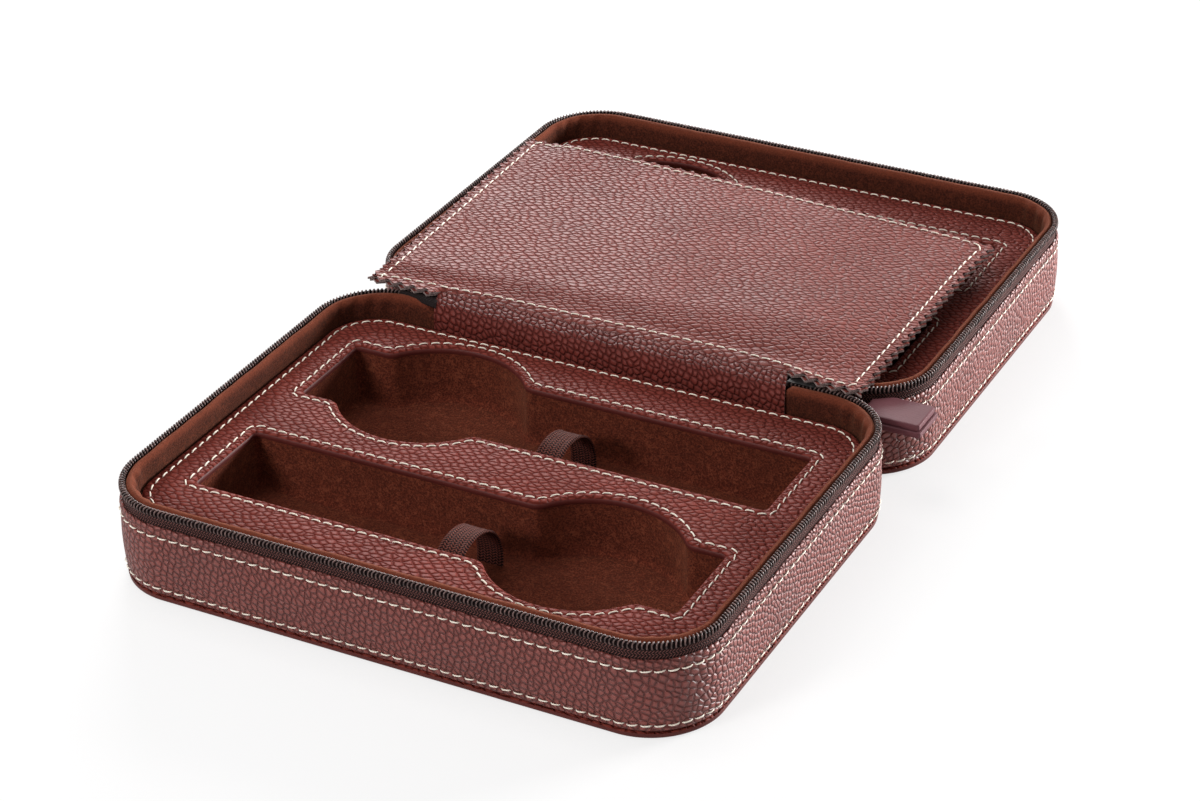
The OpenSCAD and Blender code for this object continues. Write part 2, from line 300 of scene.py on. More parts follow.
def pebbled_leather(name, dark, base, light, pitch, turn, width, depth, gloss, source="Object",
                    drape=None):
    """Embossed leather: domes about pitch millimetres apart, stretched by width, with creases
    between, painted shade in the creases and a painted highlight on the dome tops. drape is
    where a slow dip behind the spine starts, its length and its depth."""
    finish = Finish(name, Specular_IOR_Level=gloss)
    spot = finish.place(turn=(0.0, 0.0, turn), source=source)
    along, across, _ = finish.axes(spot)
    oval = finish.node("ShaderNodeCombineXYZ", None, {
        "X": along / width + across * ((width - 1.0) * 1.8), "Y": across})
    bent = finish.warp(oval, 6.0, 1.1)
    cell = {"Vector": bent, "Scale": 1.0 / pitch, "Randomness": 0.7}
    flat = {"voronoi_dimensions": "2D"}
    far = finish.node("ShaderNodeTexVoronoi", {**flat, "feature": "F1"}, cell)
    edge = finish.node("ShaderNodeTexVoronoi", {**flat, "feature": "DISTANCE_TO_EDGE"}, cell)
    dome = 1.0 - (far * far * 2.2).smaller(1.0)
    lift = edge.ramp(0.0, 0.34)
    shoulder = lift * (2.0 - lift)
    crease = 1.0 - edge.ramp(0.0, 0.1)
    wrinkle = finish.noise(bent, 0.9, 2.0, 0.55)
    swell = finish.noise(spot, 7.0, 1.0)
    height = dome * 0.35 + shoulder * 0.6 + wrinkle * 0.06 + swell * 0.5
    pores = finish.noise(spot, 0.35, 2.0)
    under = None
    if drape:
        start, length, fall = drape
        side, front, _ = finish.axes(finish.place())
        dip = (front - (HINGE_Y + start)) / (side * 0.14 + length)
        dip = dip.smaller(1.0).larger(0.0)
        hang = dip * dip * (3.0 - dip * 2.0) + finish.noise(spot, 42.0, 0.0) * 0.7
        under = finish.relief(hang, fall)
    normal = finish.relief(pores, 0.03, 0.5, finish.relief(height, depth, 1.0, under))
    tone = finish.noise(spot, 24.0, 3.0)
    # Painted shade: darker from each dome's top towards its creases, and darker still in the
    # creases
    colour = finish.mix(shoulder * 0.35 + 0.65, dark, base)
    colour = finish.mix(crease * 0.22, colour, dark)
    # Painted highlight: the dome tops are lightened towards light
    colour = finish.mix((dome * shoulder).ramp(0.35, 1.0) * 0.3, colour, light)
    colour = finish.mix(tone.ramp(0.35, 0.75) * 0.22, colour, dark)
    finish.feed(Base_Color=colour, Normal=normal,
                Roughness=0.53 - dome * 0.08 + wrinkle * 0.08 + crease * 0.3)
    return finish.material


def suede(name, dark, base, light, ridge=None):
    """Brushed suede: short nap that lies in patches, and with ridge a painted highlight that makes
    the ridge's top paler.
    """
    finish = Finish(name, Specular_IOR_Level=0.1, Sheen_Weight=0.12, Sheen_Roughness=0.5,
                    Sheen_Tint=(0.75, 0.38, 0.2, 1.0))
    spot = finish.place()
    nap = finish.noise(finish.warp(spot, 1.6, 1.0), 0.55, 3.0, 0.75)
    patch = finish.noise(spot, 2.6, 3.0, 0.65, 0.6)
    cloud = finish.noise(spot, 17.0, 2.0)
    colour = finish.mix(nap.ramp(0.36, 0.66), dark, base)
    colour = finish.mix((patch * 0.6 + nap * 0.4).ramp(0.48, 0.68) * 0.65, colour, light)
    colour = finish.mix(cloud.ramp(0.35, 0.8) * 0.3, colour, dark)
    # Painted highlight along the ridge's top: ridge gives the heights where it starts and where it
    # is full, and its colour
    if ridge:
        low, high, ridge_highlight = ridge
        rise = finish.axes(spot)[2].ramp(low, high)
        colour = finish.mix(rise * (0.2 + nap * 0.9), colour, ridge_highlight)
    normal = finish.relief(nap * 0.7 + patch * 0.6, 0.45, 0.85)
    finish.feed(Base_Color=colour, Normal=normal, Roughness=0.86 + nap * 0.1)
    return finish.material


def waxed_thread():
    finish = Finish("waxed_thread", Specular_IOR_Level=0.35, Sheen_Weight=0.15)
    spot = finish.place()
    ply = finish.noise(spot, 0.25, 2.0)
    stain = finish.noise(spot, 6.0, 2.0)
    colour = finish.mix(ply.ramp(0.25, 0.75), (0.66, 0.56, 0.44), (0.95, 0.9, 0.8))
    colour = finish.mix(stain.ramp(0.55, 0.8) * 0.3, colour, (0.6, 0.42, 0.3))
    finish.feed(Base_Color=colour, Roughness=0.55 + ply * 0.2, Normal=finish.relief(ply, 0.08))
    return finish.material


def zip_tape_weave(name, yarn_colour):
    """Herringbone tape: slanting ribs whose slant turns from one column to the next, with painted
    shade, near black, in the troughs between ribs.
    """
    finish = Finish(name, Specular_IOR_Level=0.1)
    along, across, _ = finish.axes(finish.place(source="UV"))
    column = 0.95
    side = (across / column).fract()
    lean = ((across / column).floor() / 2.0).fract().above(0.25)
    slant = side * (1.0 - lean * 2.0)
    rib = ((along / column + slant) * (2 * math.pi)).sin().ramp(-0.4, 0.7)
    groove = (side - 0.5).abs().ramp(0.3, 0.5)
    height = rib * (1.0 - groove * 0.8)
    fuzz = finish.noise(finish.place(), 0.4, 2.0)
    # Painted shade: the weave's troughs go near black
    colour = finish.mix(height, (0.004, 0.002, 0.002), yarn_colour)
    colour = finish.mix(fuzz * 0.25, colour, (0.03, 0.014, 0.013))
    finish.feed(Base_Color=colour, Roughness=0.6 + fuzz * 0.2, Normal=finish.relief(height, 0.3))
    return finish.material


def braided_elastic():
    """Braided band: chevrons of thick yarn and a corded edge, with painted shade near black in the
    gaps and a painted highlight on the yarn tops.
    """
    finish = Finish("braided_elastic", Specular_IOR_Level=0.12)
    along, across, _ = finish.axes(finish.place(source="UV"))
    rib = across / 1.05
    side = rib.fract()
    lean = (rib.floor() / 2.0).fract().above(0.25) * 2.0 - 1.0
    yarn = ((along + side * lean * 0.8) * (2 * math.pi)).sin() * 0.5 + 0.5
    bead = 1.0 - (side - 0.5).abs() * 1.7
    height = (bead * 0.55 + yarn * 0.6).smaller(1.0)
    fibre = finish.noise(finish.place(), 0.22, 2.0)
    # Painted shade: the gaps between the yarns go near black
    colour = finish.mix(height.ramp(0.42, 0.85), (0.006, 0.002, 0.002), (0.13, 0.034, 0.024))
    # Painted highlight: the yarn tops are lightened in fibre-sized spots
    colour = finish.mix(height.ramp(0.55, 1.0) * fibre * 0.6, colour, (0.24, 0.08, 0.06))
    finish.feed(Base_Color=colour, Roughness=0.7 + fibre * 0.15,
                Normal=finish.relief(height * 0.85 + fibre * 0.15, 0.5))
    return finish.material


def smooth_leather(name, dark, base):
    """Smooth painted leather with a faint grain."""
    finish = Finish(name, Specular_IOR_Level=0.2)
    spot = finish.place()
    grain = finish.noise(spot, 0.6, 3.0, 0.6)
    tone = finish.noise(spot, 6.0, 2.0)
    colour = finish.mix(tone * 0.6 + grain * 0.4, dark, base)
    finish.feed(Base_Color=colour, Roughness=0.46 + grain * 0.14, Normal=finish.relief(grain, 0.06))
    return finish.material


def blackened_metal():
    """Zip hardware enamelled black, its enamel rubbed thin in places."""
    finish = Finish("blackened_metal", Specular_IOR_Level=0.15)
    spot = finish.place()
    rub = finish.noise(spot, 1.5, 3.0)
    bare = rub.ramp(0.55, 0.72)
    colour = finish.mix(bare, (0.006, 0.005, 0.005), (0.07, 0.06, 0.057))
    finish.feed(Base_Color=colour, Metallic=bare * 0.8, Roughness=0.36 + rub * 0.2,
                Normal=finish.relief(rub, 0.02))
    return finish.material


def mottled(name, gloss, dark, light, size, rough, relief=None, ramp=None, detail=2.0,
            coarse=0.5, stretch=(1.0, 1.0, 1.0)):
    """Two tones in spots of about size millimetres. rough is the least roughness and its spread,
    relief is in millimetres, and ramp is where the second tone starts and ends."""
    finish = Finish(name, Specular_IOR_Level=gloss)
    spots = finish.noise(finish.place(stretch), size, detail, coarse)
    colour = finish.mix(spots.ramp(*ramp) if ramp else spots, dark, light)
    finish.feed(Base_Color=colour, Roughness=rough[0] + spots * rough[1])
    if relief:
        finish.feed(Normal=finish.relief(spots, relief))
    return finish.material


# Leather colours: dark is painted shade in the creases and also a darker random tone, light is a
# painted highlight on the dome tops
OXBLOOD = {"dark": (0.03, 0.0045, 0.0035), "base": (0.172, 0.03, 0.0215),
           "light": (0.22, 0.056, 0.043)}
WALL_LEATHER = pebbled_leather("wall_leather_grain", **OXBLOOD, pitch=1.9, turn=0.4, width=1.1,
                               depth=0.9, gloss=0.5, source="UV")
PANEL_LEATHER = pebbled_leather("panel_leather_grain", **OXBLOOD, pitch=2.05, turn=-0.49, width=1.2,
                                depth=0.6, gloss=0.05)
DIVIDER_LEATHER = pebbled_leather("divider_leather_grain", **OXBLOOD, pitch=2.05, turn=-0.49,
                                  width=1.25, depth=0.55, gloss=0.21, drape=(1.0, 24.0, 5.5))
# The spine's first and last colours are likewise painted crease shade with random tone, and a
# painted dome-top highlight
SPINE_LEATHER = pebbled_leather("spine_leather_grain", (0.02, 0.003, 0.0025),
                                (0.135, 0.022, 0.016), (0.17, 0.04, 0.031), pitch=2.0, turn=0.3,
                                width=1.08, depth=0.75, gloss=0.12, source="UV")
# Its ridge colour is a painted highlight along the rim's ridge top
RIM_SUEDE = suede("rim_suede_nap", (0.025, 0.005, 0.003), (0.085, 0.019, 0.009),
                  (0.12, 0.028, 0.014), (RIDGE_Z - 2.2, RIDGE_Z + 0.6, (0.165, 0.037, 0.018)))
WELL_SUEDE = suede("well_suede_nap", (0.045, 0.0075, 0.0042), (0.15, 0.031, 0.015),
                   (0.23, 0.058, 0.029))
THREAD = waxed_thread()
TAPE = zip_tape_weave("zip_tape_weave", (0.15, 0.058, 0.05))
# Painted shade: a near-black copy of the tape for its end, which lies in shadow under the divider's
# left corner
TAPE_IN_SHADE = zip_tape_weave("zip_tape_end_painted_shade", (0.009, 0.006, 0.0055))
NYLON = mottled("coil_nylon", 0.38, (0.03, 0.013, 0.011), (0.16, 0.09, 0.08), 1.2, (0.34, 0.15),
                0.04, (0.35, 0.7))
CORD = mottled("coil_cord", 0.05, (0.003, 0.002, 0.002), (0.012, 0.007, 0.007), 0.5, (0.8, 0.1))
ELASTIC = braided_elastic()
RAW_EDGE = mottled("raw_edge", 0.2, (0.12, 0.075, 0.07), (0.44, 0.34, 0.32), 0.4, (0.85, 0.1),
                   0.15, (0.3, 0.75), 3.0, 0.7, (1.0, 1.0, 2.0))
TAB_LEATHER = smooth_leather("tab_leather", (0.085, 0.026, 0.032), (0.13, 0.044, 0.052))
TURNED_LEATHER = smooth_leather("turned_leather", (0.04, 0.006, 0.005), (0.12, 0.021, 0.016))
METAL = blackened_metal()
PRESSED = {"size": 0.8, "rough": (0.85, 0.1), "relief": 0.05, "detail": 3.0,
           "stretch": (1.0, 0.4, 1.0)}
BOARD = mottled("pressed_board", 0.2, (0.3, 0.24, 0.18), (0.46, 0.39, 0.31), **PRESSED)
DYED_BOARD = mottled("dyed_board", 0.2, (0.02, 0.006, 0.004), (0.045, 0.012, 0.008), **PRESSED)


# ---- Mesh helpers. Paths and profiles are in millimetres, and finish_mesh takes metres

def in_place(points, tray, mirrored=True):
    """A tray's points in metres. The lid's are mirrored across the spine, or only moved."""
    placed = []
    for x, y, z in points:
        if tray == "lid":
            y = LID_Y - y if mirrored else LID_Y + y
        placed.append(Vector((x * MM, y * MM, z * MM)))
    return placed


def metres(points):
    return [Vector(point) * MM for point in points]


def linked(name, data):
    """A new object of the scene that holds the data."""
    thing = bpy.data.objects.new(name, data)
    bpy.context.scene.collection.objects.link(thing)
    return thing


def soften(work, smooth_angle):
    """Smooth faces, with crisp edges where they meet at more than the angle."""
    limit = math.radians(smooth_angle)
    for edge in work.edges:
        edge.smooth = len(edge.link_faces) == 2 and edge.calc_face_angle(0.0) < limit
    for face in work.faces:
        face.smooth = True


def finish_mesh(name, points, faces, materials, uvs=None, smooth_angle=40.0, painted=()):
    """A closed mesh object with outward faces. painted is each face's place in materials."""
    mesh = bpy.data.meshes.new(name)
    mesh.from_pydata(points, [], faces)
    if uvs:
        layer = mesh.uv_layers.new(name="UVMap")
        for polygon, corners in zip(mesh.polygons, uvs):
            for loop, (u, v) in zip(polygon.loop_indices, corners):
                layer.data[loop].uv = (u * MM, v * MM)
    for material in materials:
        mesh.materials.append(material)
    for polygon, index in zip(mesh.polygons, painted):
        polygon.material_index = index
    work = bmesh.new()
    work.from_mesh(mesh)
    bmesh.ops.recalc_face_normals(work, faces=work.faces)
    soften(work, smooth_angle)
    work.to_mesh(mesh)
    work.free()
    return linked(name, mesh)


def outline(half_x, half_y, radius, gap=None):
    """Points and outward normals anticlockwise round a rounded rectangle, from its hinge side.
    The counts don't depend on the sizes, so that outlines of different insets match."""
    left, right = gap or (0.0, 0.0)
    long = half_x - radius
    side = half_y - radius
    plain_long, plain_side = HALF_X - CORNER_R, HALF_Y - CORNER_R
    arc = math.ceil(math.pi / 2 * CORNER_R / STEP)
    found = []

    def straight(start, end, normal, length):
        count = max(2, math.ceil(length / STEP))
        for i in range(count):
            t = i / count
            found.append((start[0] + (end[0] - start[0]) * t,
                          start[1] + (end[1] - start[1]) * t, *normal))

    def corner(centre, first):
        for i in range(arc):
            angle = first + math.pi / 2 * i / arc
            nx, ny = math.cos(angle), math.sin(angle)
            found.append((centre[0] + nx * radius, centre[1] + ny * radius, nx, ny))

    straight((-left, half_y), (-long, half_y), (0.0, 1.0), plain_long - left)
    corner((-long, side), math.pi / 2)
    straight((-half_x, side), (-half_x, -side), (-1.0, 0.0), 2 * plain_side)
    corner((-long, -side), math.pi)
    straight((-long, -half_y), (long, -half_y), (0.0, -1.0), 2 * plain_long)
    corner((long, -side), 1.5 * math.pi)
    straight((half_x, -side), (half_x, side), (1.0, 0.0), 2 * plain_side)
    corner((long, side), 0.0)
    straight((long, half_y), (right, half_y), (0.0, 1.0), plain_long - right)
    if gap:
        found.append((right, half_y, 0.0, 1.0))
    return found


def lengths_along(points, closed):
    total = [0.0]
    for i in range(1, len(points) + (1 if closed else 0)):
        a, b = points[i - 1], points[i % len(points)]
        total.append(total[-1] + math.dist(a[:2], b[:2]))
    return total


def loft(rings, closed_path=True, closed_profile=True):
    """Quads through rings of points, with UVs in millimetres along and across."""
    count = len(rings[0])
    along = lengths_along(rings[0], closed_path)
    across = [0.0]
    for i in range(1, len(rings) + 1):
        across.append(across[-1] + math.dist(rings[i - 1][0], rings[i % len(rings)][0]))
    faces, uvs = [], []
    for k in range(len(rings) if closed_profile else len(rings) - 1):
        m = (k + 1) % len(rings)
        for i in range(count if closed_path else count - 1):
            j = (i + 1) % count
            faces.append((k * count + i, k * count + j, m * count + j, m * count + i))
            uvs.append(((along[i], across[k]), (along[i + 1], across[k]),
                        (along[i + 1], across[k + 1]), (along[i], across[k + 1])))
    if not closed_path:
        for i in (0, count - 1):
            faces.append(tuple(k * count + i for k in range(len(rings))))
            uvs.append(tuple((along[i], across[k]) for k in range(len(rings))))
    points = [point for ring in rings for point in ring]
    return points, faces, uvs


def capped_loft(rings):
    """A loft through closed rings, the first and the last filled with triangles."""
    points, faces, _ = loft(rings, True, False)
    last = len(points) - len(rings[-1])
    for start, ring in ((0, rings[0]), (last, rings[-1])):
        faces += [tuple(start + i for i in triangle) for triangle in filled([ring])]
    return points, faces


def around_tray(name, tray, profile, material, gap=None, shape=None):
    """A closed profile of (inset, height) carried round the tray. Three numbers are the insets on
    the short sides and on the long sides, and the height. shape gets the path length, a point
    and its inset, and returns how far out and up the point moves."""
    nominal = outline(HALF_X, HALF_Y, CORNER_R, gap)
    along = lengths_along(nominal, gap is None)
    rings = []
    for *insets, z in profile:
        inset_x, inset_y = insets[0], insets[-1]
        ring = []
        path = outline(HALF_X - inset_x, HALF_Y - inset_y, CORNER_R - inset_x, gap)
        for s, (x, y, nx, ny) in zip(along, path):
            out, up = shape(s, x, y, z, inset_x) if shape else (0.0, 0.0)
            ring.append((x + nx * out, y + ny * out, z + up))
        rings.append(ring)
    points, faces, uvs = loft(rings, gap is None)
    return finish_mesh(name, in_place(points, tray), faces, [material], uvs, 50.0)


def tray_line(inset, z, gap=None):
    """Points round the tray at an inset and a height."""
    path = outline(HALF_X - inset, HALF_Y - inset, CORNER_R - inset, gap)
    return [(x, y, z) for x, y, _, _ in path]


def filled(loops):
    """Triangles over the area between an outer loop and its holes, as indices into them all."""
    return tessellate_polygon([[Vector((x, y, 0.0)) for x, y, _ in loop] for loop in loops])


def dressed(piece, body, slot, *nodes):
    """The piece rides on its body and stands for its nodes, which it hides. slot is not used."""
    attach(piece, body)
    if nodes:
        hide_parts(*nodes)


# ---- What repeats along a path: stitches and zip teeth

def repeat_tree():
    """Geometry Nodes that set an item along a curve, its X along the curve and its Z facing
    up, or out from the curve."""
    tree = bpy.data.node_groups.new("repeat_along_path", "GeometryNodeTree")
    for name, kind in (("Geometry", "Geometry"), ("Item", "Object"), ("Pitch", "Float"),
                       ("Outward", "Float"), ("Unevenness", "Float"), ("Material", "Material")):
        tree.interface.new_socket(name, in_out="INPUT", socket_type="NodeSocket" + kind)
    tree.interface.new_socket("Geometry", in_out="OUTPUT", socket_type="NodeSocketGeometry")

    def add(kind, links=None, values=None, **settings):
        node = tree.nodes.new(kind)
        for name, value in settings.items():
            setattr(node, name, value)
        for name, value in (values or {}).items():
            node.inputs[name].default_value = value
        for name, source in (links or {}).items():
            tree.links.new(source, node.inputs[name])
        return node

    given = add("NodeGroupInput").outputs
    evened = add("GeometryNodeResampleCurve",
                 {"Curve": given["Geometry"], "Length": given["Pitch"]}, mode="LENGTH")
    tangent = add("GeometryNodeInputTangent").outputs[0]
    outward = add("ShaderNodeVectorMath", {0: tangent}, {1: (0.0, 0.0, 1.0)},
                  operation="CROSS_PRODUCT").outputs[0]
    scaled = add("ShaderNodeVectorMath", {0: outward, "Scale": given["Outward"]},
                 operation="SCALE").outputs[0]
    rest = add("ShaderNodeMath", {1: given["Outward"]}, {0: 1.0}, operation="SUBTRACT")
    upward = add("ShaderNodeCombineXYZ", {"Z": rest.outputs[0]}).outputs[0]
    facing = add("ShaderNodeVectorMath", {0: scaled, 1: upward}, operation="ADD").outputs[0]
    along = add("FunctionNodeAlignRotationToVector", {"Vector": tangent}, axis="X")
    turned = add("FunctionNodeAlignRotationToVector",
                 {"Rotation": along.outputs[0], "Vector": facing}, axis="Z", pivot_axis="X")
    low = add("ShaderNodeMath", {0: given["Unevenness"]}, {1: -1.0}, operation="MULTIPLY")
    chance = add("FunctionNodeRandomValue", {"Min": low.outputs[0], "Max": given["Unevenness"]},
                 {"Seed": 7}, data_type="FLOAT").outputs[1]
    wobble = add("ShaderNodeCombineXYZ", {"Z": chance}).outputs[0]
    turn = add("FunctionNodeEulerToRotation", {0: wobble}).outputs[0]
    rotation = add("FunctionNodeRotateRotation", {0: turned.outputs[0], 1: turn},
                   rotation_space="LOCAL").outputs[0]
    item = add("GeometryNodeObjectInfo", {"Object": given["Item"]})
    placed = add("GeometryNodeInstanceOnPoints", {
        "Points": evened.outputs[0], "Instance": item.outputs["Geometry"], "Rotation": rotation})
    real = add("GeometryNodeRealizeInstances", {0: placed.outputs[0]})
    painted = add("GeometryNodeSetMaterial", {"Geometry": real.outputs[0],
                                              "Material": given["Material"]})
    add("NodeGroupOutput", {"Geometry": painted.outputs[0]})
    return tree


REPEAT = repeat_tree()


def repeated(name, paths, item, pitch, material, outward, unevenness):
    """The item set along paths of (points in metres, closed). Returns a plain mesh object."""
    curve = bpy.data.curves.new(name + "_path", "CURVE")
    curve.dimensions = "3D"
    for points, closed in paths:
        spline = curve.splines.new("POLY")
        spline.points.add(len(points) - 1)
        for target, point in zip(spline.points, points):
            target.co = (*point, 1.0)
        spline.use_cyclic_u = closed
    source = linked(name + "_path", curve)
    modifier = source.modifiers.new("repeat", "NODES")
    modifier.node_group = REPEAT
    values = {"Item": item, "Pitch": pitch * MM, "Outward": outward,
              "Unevenness": unevenness, "Material": material}
    for socket in REPEAT.interface.items_tree:
        if socket.in_out == "INPUT" and socket.name in values:
            modifier[socket.identifier] = values[socket.name]
    source.update_tag()
    graph = bpy.context.evaluated_depsgraph_get()
    mesh = bpy.data.meshes.new_from_object(source.evaluated_get(graph), depsgraph=graph)
    bpy.data.objects.remove(source)
    mesh.name = name
    return linked(name, mesh)


def stitched(name, rows, body, outward=0.0):
    """Rows of stitches that ride on a body. outward is 1 where they lie on an upright side."""
    piece = repeated(name, rows, STITCH, STITCH_PITCH, THREAD, outward, STITCH_TILT)
    dressed(piece, body, None)
    return piece


TUBE_SIDES = 6
ACROSS = Vector((1.0, 0.0, 0.0))
UPRIGHT = Vector((0.0, 1.0, 0.02))


def tube_item(name, path, radii, closed):
    """A small tube through points in millimetres, to be repeated."""
    count = len(path)
    points, faces = [], []
    for i, (centre, size) in enumerate(zip(path, radii)):
        after = path[(i + 1) % count] if closed or i + 1 < count else path[i]
        before = path[i - 1] if closed or i > 0 else path[i]
        tangent = (Vector(after) - Vector(before)).normalized()
        first = ACROSS - tangent * tangent.x if closed else tangent.cross(UPRIGHT)
        first.normalize()
        second = tangent.cross(first)
        for k in range(TUBE_SIDES):
            angle = 2 * math.pi * k / TUBE_SIDES
            offset = first * math.cos(angle) * size + second * math.sin(angle) * size
            points.append((Vector(centre) + offset) * MM)
    for i in range(count if closed else count - 1):
        j = (i + 1) % count
        for k in range(TUBE_SIDES):
            m = (k + 1) % TUBE_SIDES
            faces.append(tuple(a * TUBE_SIDES + b for a, b in ((i, k), (i, m), (j, m), (j, k))))
    if not closed:
        faces.append(tuple(range(TUBE_SIDES)))
        faces.append(tuple(range((count - 1) * TUBE_SIDES, count * TUBE_SIDES)))
    return finish_mesh(name, points, faces, [], None, 180.0)


def stitch_item():
    """One lock stitch: a thread that rises from its hole, lies on the leather and dips again."""
    path, radii = [], []
    for i in range(7):
        t = i / 6 * 2 - 1
        path.append((t * STITCH_LENGTH / 2, 0.14 * t, 0.26 - 0.58 * t ** 4))
        radii.append(0.235 - 0.07 * t ** 4)
    return tube_item("stitch_item", path, radii, False)


def tooth_item():
    """One turn of the zip coil, standing across the edge of the tape."""
    path = []
    count, wire = 14, 0.25
    height = (TOOTH_TOP - TOOTH_FOOT) / 2 - wire
    width = COIL_W / 2 - wire
    for i in range(count):
        angle = 2 * math.pi * i / count
        c, s = math.cos(angle), math.sin(angle)
        path.append((0.42 * c, width * math.copysign(abs(c) ** 0.75, c),
                     height * math.copysign(abs(s) ** 0.75, s)))
    return tube_item("tooth_item", path, [wire] * count, True)


STITCH = stitch_item()
TOOTH = tooth_item()


# ---- Shell of a tray

# Wall: heights of the stitch rows, the deepest inset of the outer skin, and its puckers
UPPER_ROW, LOWER_ROW = 22.8, 4.7
SKIN = 0.9
PUCKER_REACH = 1.3
PUFF, PULL = 0.1, 0.16
STEEP = 0.72

# Rim: where its soft padding and its dip under the spine start, and over what height they grow
PAD_FROM, PAD_RUN = 23.5, 3.0
DIP_FROM, DIP_RUN = 28.0, 2.2
DIP = 2.1
GATHER = 0.35


def pucker(s, z, row):
    """Leather drawn in where a stitch pulls it down, puffed out between two stitches."""
    near = math.exp(-((z - row) / PUCKER_REACH) ** 2)
    return near * (PUFF * math.cos(2 * math.pi * s / STITCH_PITCH) - PULL)


def wall_shape(s, _x, _y, z, inset):
    """The outer skin puckers along its stitches and has low waves."""
    if inset > SKIN:
        return 0.0, 0.0
    wave = 0.12 * math.sin(s / 19.0) * math.sin(s / 7.3 + z / 9.0)
    return pucker(s, z, UPPER_ROW) + pucker(s, z, LOWER_ROW) + wave, 0.0


def wall_leather(tray):
    outer = [(2.4, 2.3), (1.6, 2.35), (0.8, 2.55), (0.4, 3.0), (0.24, 3.7), (0.18, 4.7),
             (0.06, 5.6), (-0.02, 6.8), (-0.15, 9.0), (-0.28, 12.0), (-0.3, 15.0), (-0.2, 18.0),
             (-0.08, 20.3), (0.02, 21.6), (0.1, 22.3), (0.12, 22.9), (0.03, 23.6), (-0.06, 24.4),
             (-0.05, 25.1), (0.1, 25.7), (0.4, 26.15), (0.8, 26.2)]
    inner = [(1.2, 25.9), (1.4, 25.2), (1.4, 15.0), (1.4, 3.7), (3.2, 3.5), (3.3, 2.4)]
    piece = around_tray(tray + "_wall_leather_skin", tray, outer + inner, WALL_LEATHER, None,
                        wall_shape)
    dressed(piece, tray, "pebbled_leather", tray + "_wall_leather")


def smooth_edges(piece):
    """Leather drawn round an edge loses its grain, so steep faces get a smooth finish."""
    piece.data.materials.append(TURNED_LEATHER)
    for polygon in piece.data.polygons:
        if abs(polygon.normal.z) < STEEP:
            polygon.material_index = 1


def bottom_leather(tray):
    profile = [(4.0, 2.0), (2.2, 2.0), (1.1, 1.95), (0.6, 1.7), (0.42, 1.15), (0.55, 0.5),
               (1.0, 0.12), (1.8, 0.0), (4.0, 0.0)]
    points, faces = capped_loft([tray_line(inset, z) for inset, z in profile])
    piece = finish_mesh(tray + "_bottom_leather_skin", in_place(points, tray), faces,
                        [PANEL_LEATHER])
    smooth_edges(piece)
    dressed(piece, tray, "pebbled_leather", tray + "_bottom_leather")


def rim_shape(s, x, y, z, inset):
    """Soft padding: small waves, gathers inside the corners, and a dip under the spine."""
    out = up = 0.0
    if z > PAD_FROM:
        soft = min(1.0, (z - PAD_FROM) / PAD_RUN)
        out += soft * (0.1 * math.sin(s / 5.1) + 0.08 * math.sin(s / 2.3 + 1.7))
        corner_x = abs(x) - (HALF_X - CORNER_R)
        corner_y = abs(y) - (HALF_Y - CORNER_R)
        if inset > 4.0 and corner_x > 0 and corner_y > 0:
            out += GATHER * soft * math.sin(s / 1.15) * min(1.0, corner_x / 6, corner_y / 6)
    if y > 0 and z > DIP_FROM and inset > 2.0:
        inside = min(x + STRIP_LEFT + 1.0, STRIP_RIGHT + STRIP_LEAN + 1.0 - x) / 2.5
        up -= DIP * clamp(inside) * min(1.0, (z - DIP_FROM) / DIP_RUN)
    return out, up


def rim_suede(tray):
    profile = [(2.4, 27.2), (2.38, 28.4), (2.36, 29.6), (2.5, 30.5), (2.85, 2.95, 31.0),
               (3.3, 3.6, 31.2), (3.8, 4.35, 31.1), (4.2, 5.1, 30.6), (4.45, 5.7, 29.7),
               (4.58, 6.1, 28.4), (4.62, 6.35, 26.9), (4.6, 6.45, 25.4), (4.55, 6.5, 24.0),
               (4.5, 6.5, 22.0), (4.5, 6.5, 12.0), (3.5, 12.0), (3.5, 27.0)]
    piece = around_tray(tray + "_rim_suede_skin", tray, profile, RIM_SUEDE, None, rim_shape)
    dressed(piece, tray, "suede", tray + "_rim_suede")


def zip_half(tray):
    gap = ZIP_ENDS[tray]
    tape = [(0.95, 25.4), (0.98, 26.2), (1.05, 27.0), (0.98, 27.8), (0.8, 28.5), (0.75, 29.2),
            (0.9, 29.7), (1.5, 29.7), (1.6, 28.5), (1.6, 27.0), (1.45, 25.4)]
    piece = around_tray(tray + "_zip_tape_weave", tray, tape, TAPE, gap)
    dressed(piece, tray, "zip_tape", tray + "_zip_tape")
    cord = [(0.75, 29.3), (0.62, 30.0), (0.7, 30.7), (1.0, 31.05), (1.5, 31.0), (1.8, 30.5),
            (1.8, 29.8), (1.65, 29.3)]
    piece = around_tray(tray + "_zip_cord", tray, cord, CORD, gap)
    dressed(piece, tray, "zip_coil")
    line = tray_line(COIL_INSET + COIL_W / 2, (TOOTH_FOOT + TOOTH_TOP) / 2, gap)
    piece = repeated(tray + "_zip_teeth", [(in_place(line, tray), False)], TOOTH, TOOTH_PITCH,
                     NYLON, 0.0, TOOTH_TILT)
    dressed(piece, tray, "zip_coil", tray + "_zip_coil")


def wall_stitches(tray):
    rows = []
    for inset, z in ((0.06, UPPER_ROW), (0.18, LOWER_ROW)):
        points = in_place(tray_line(inset, z), tray)
        if tray == "lid":
            points.reverse()
        rows.append((points, True))
    stitched(tray + "_wall_stitches", rows, tray, 1.0)


# ---- Insert of a tray

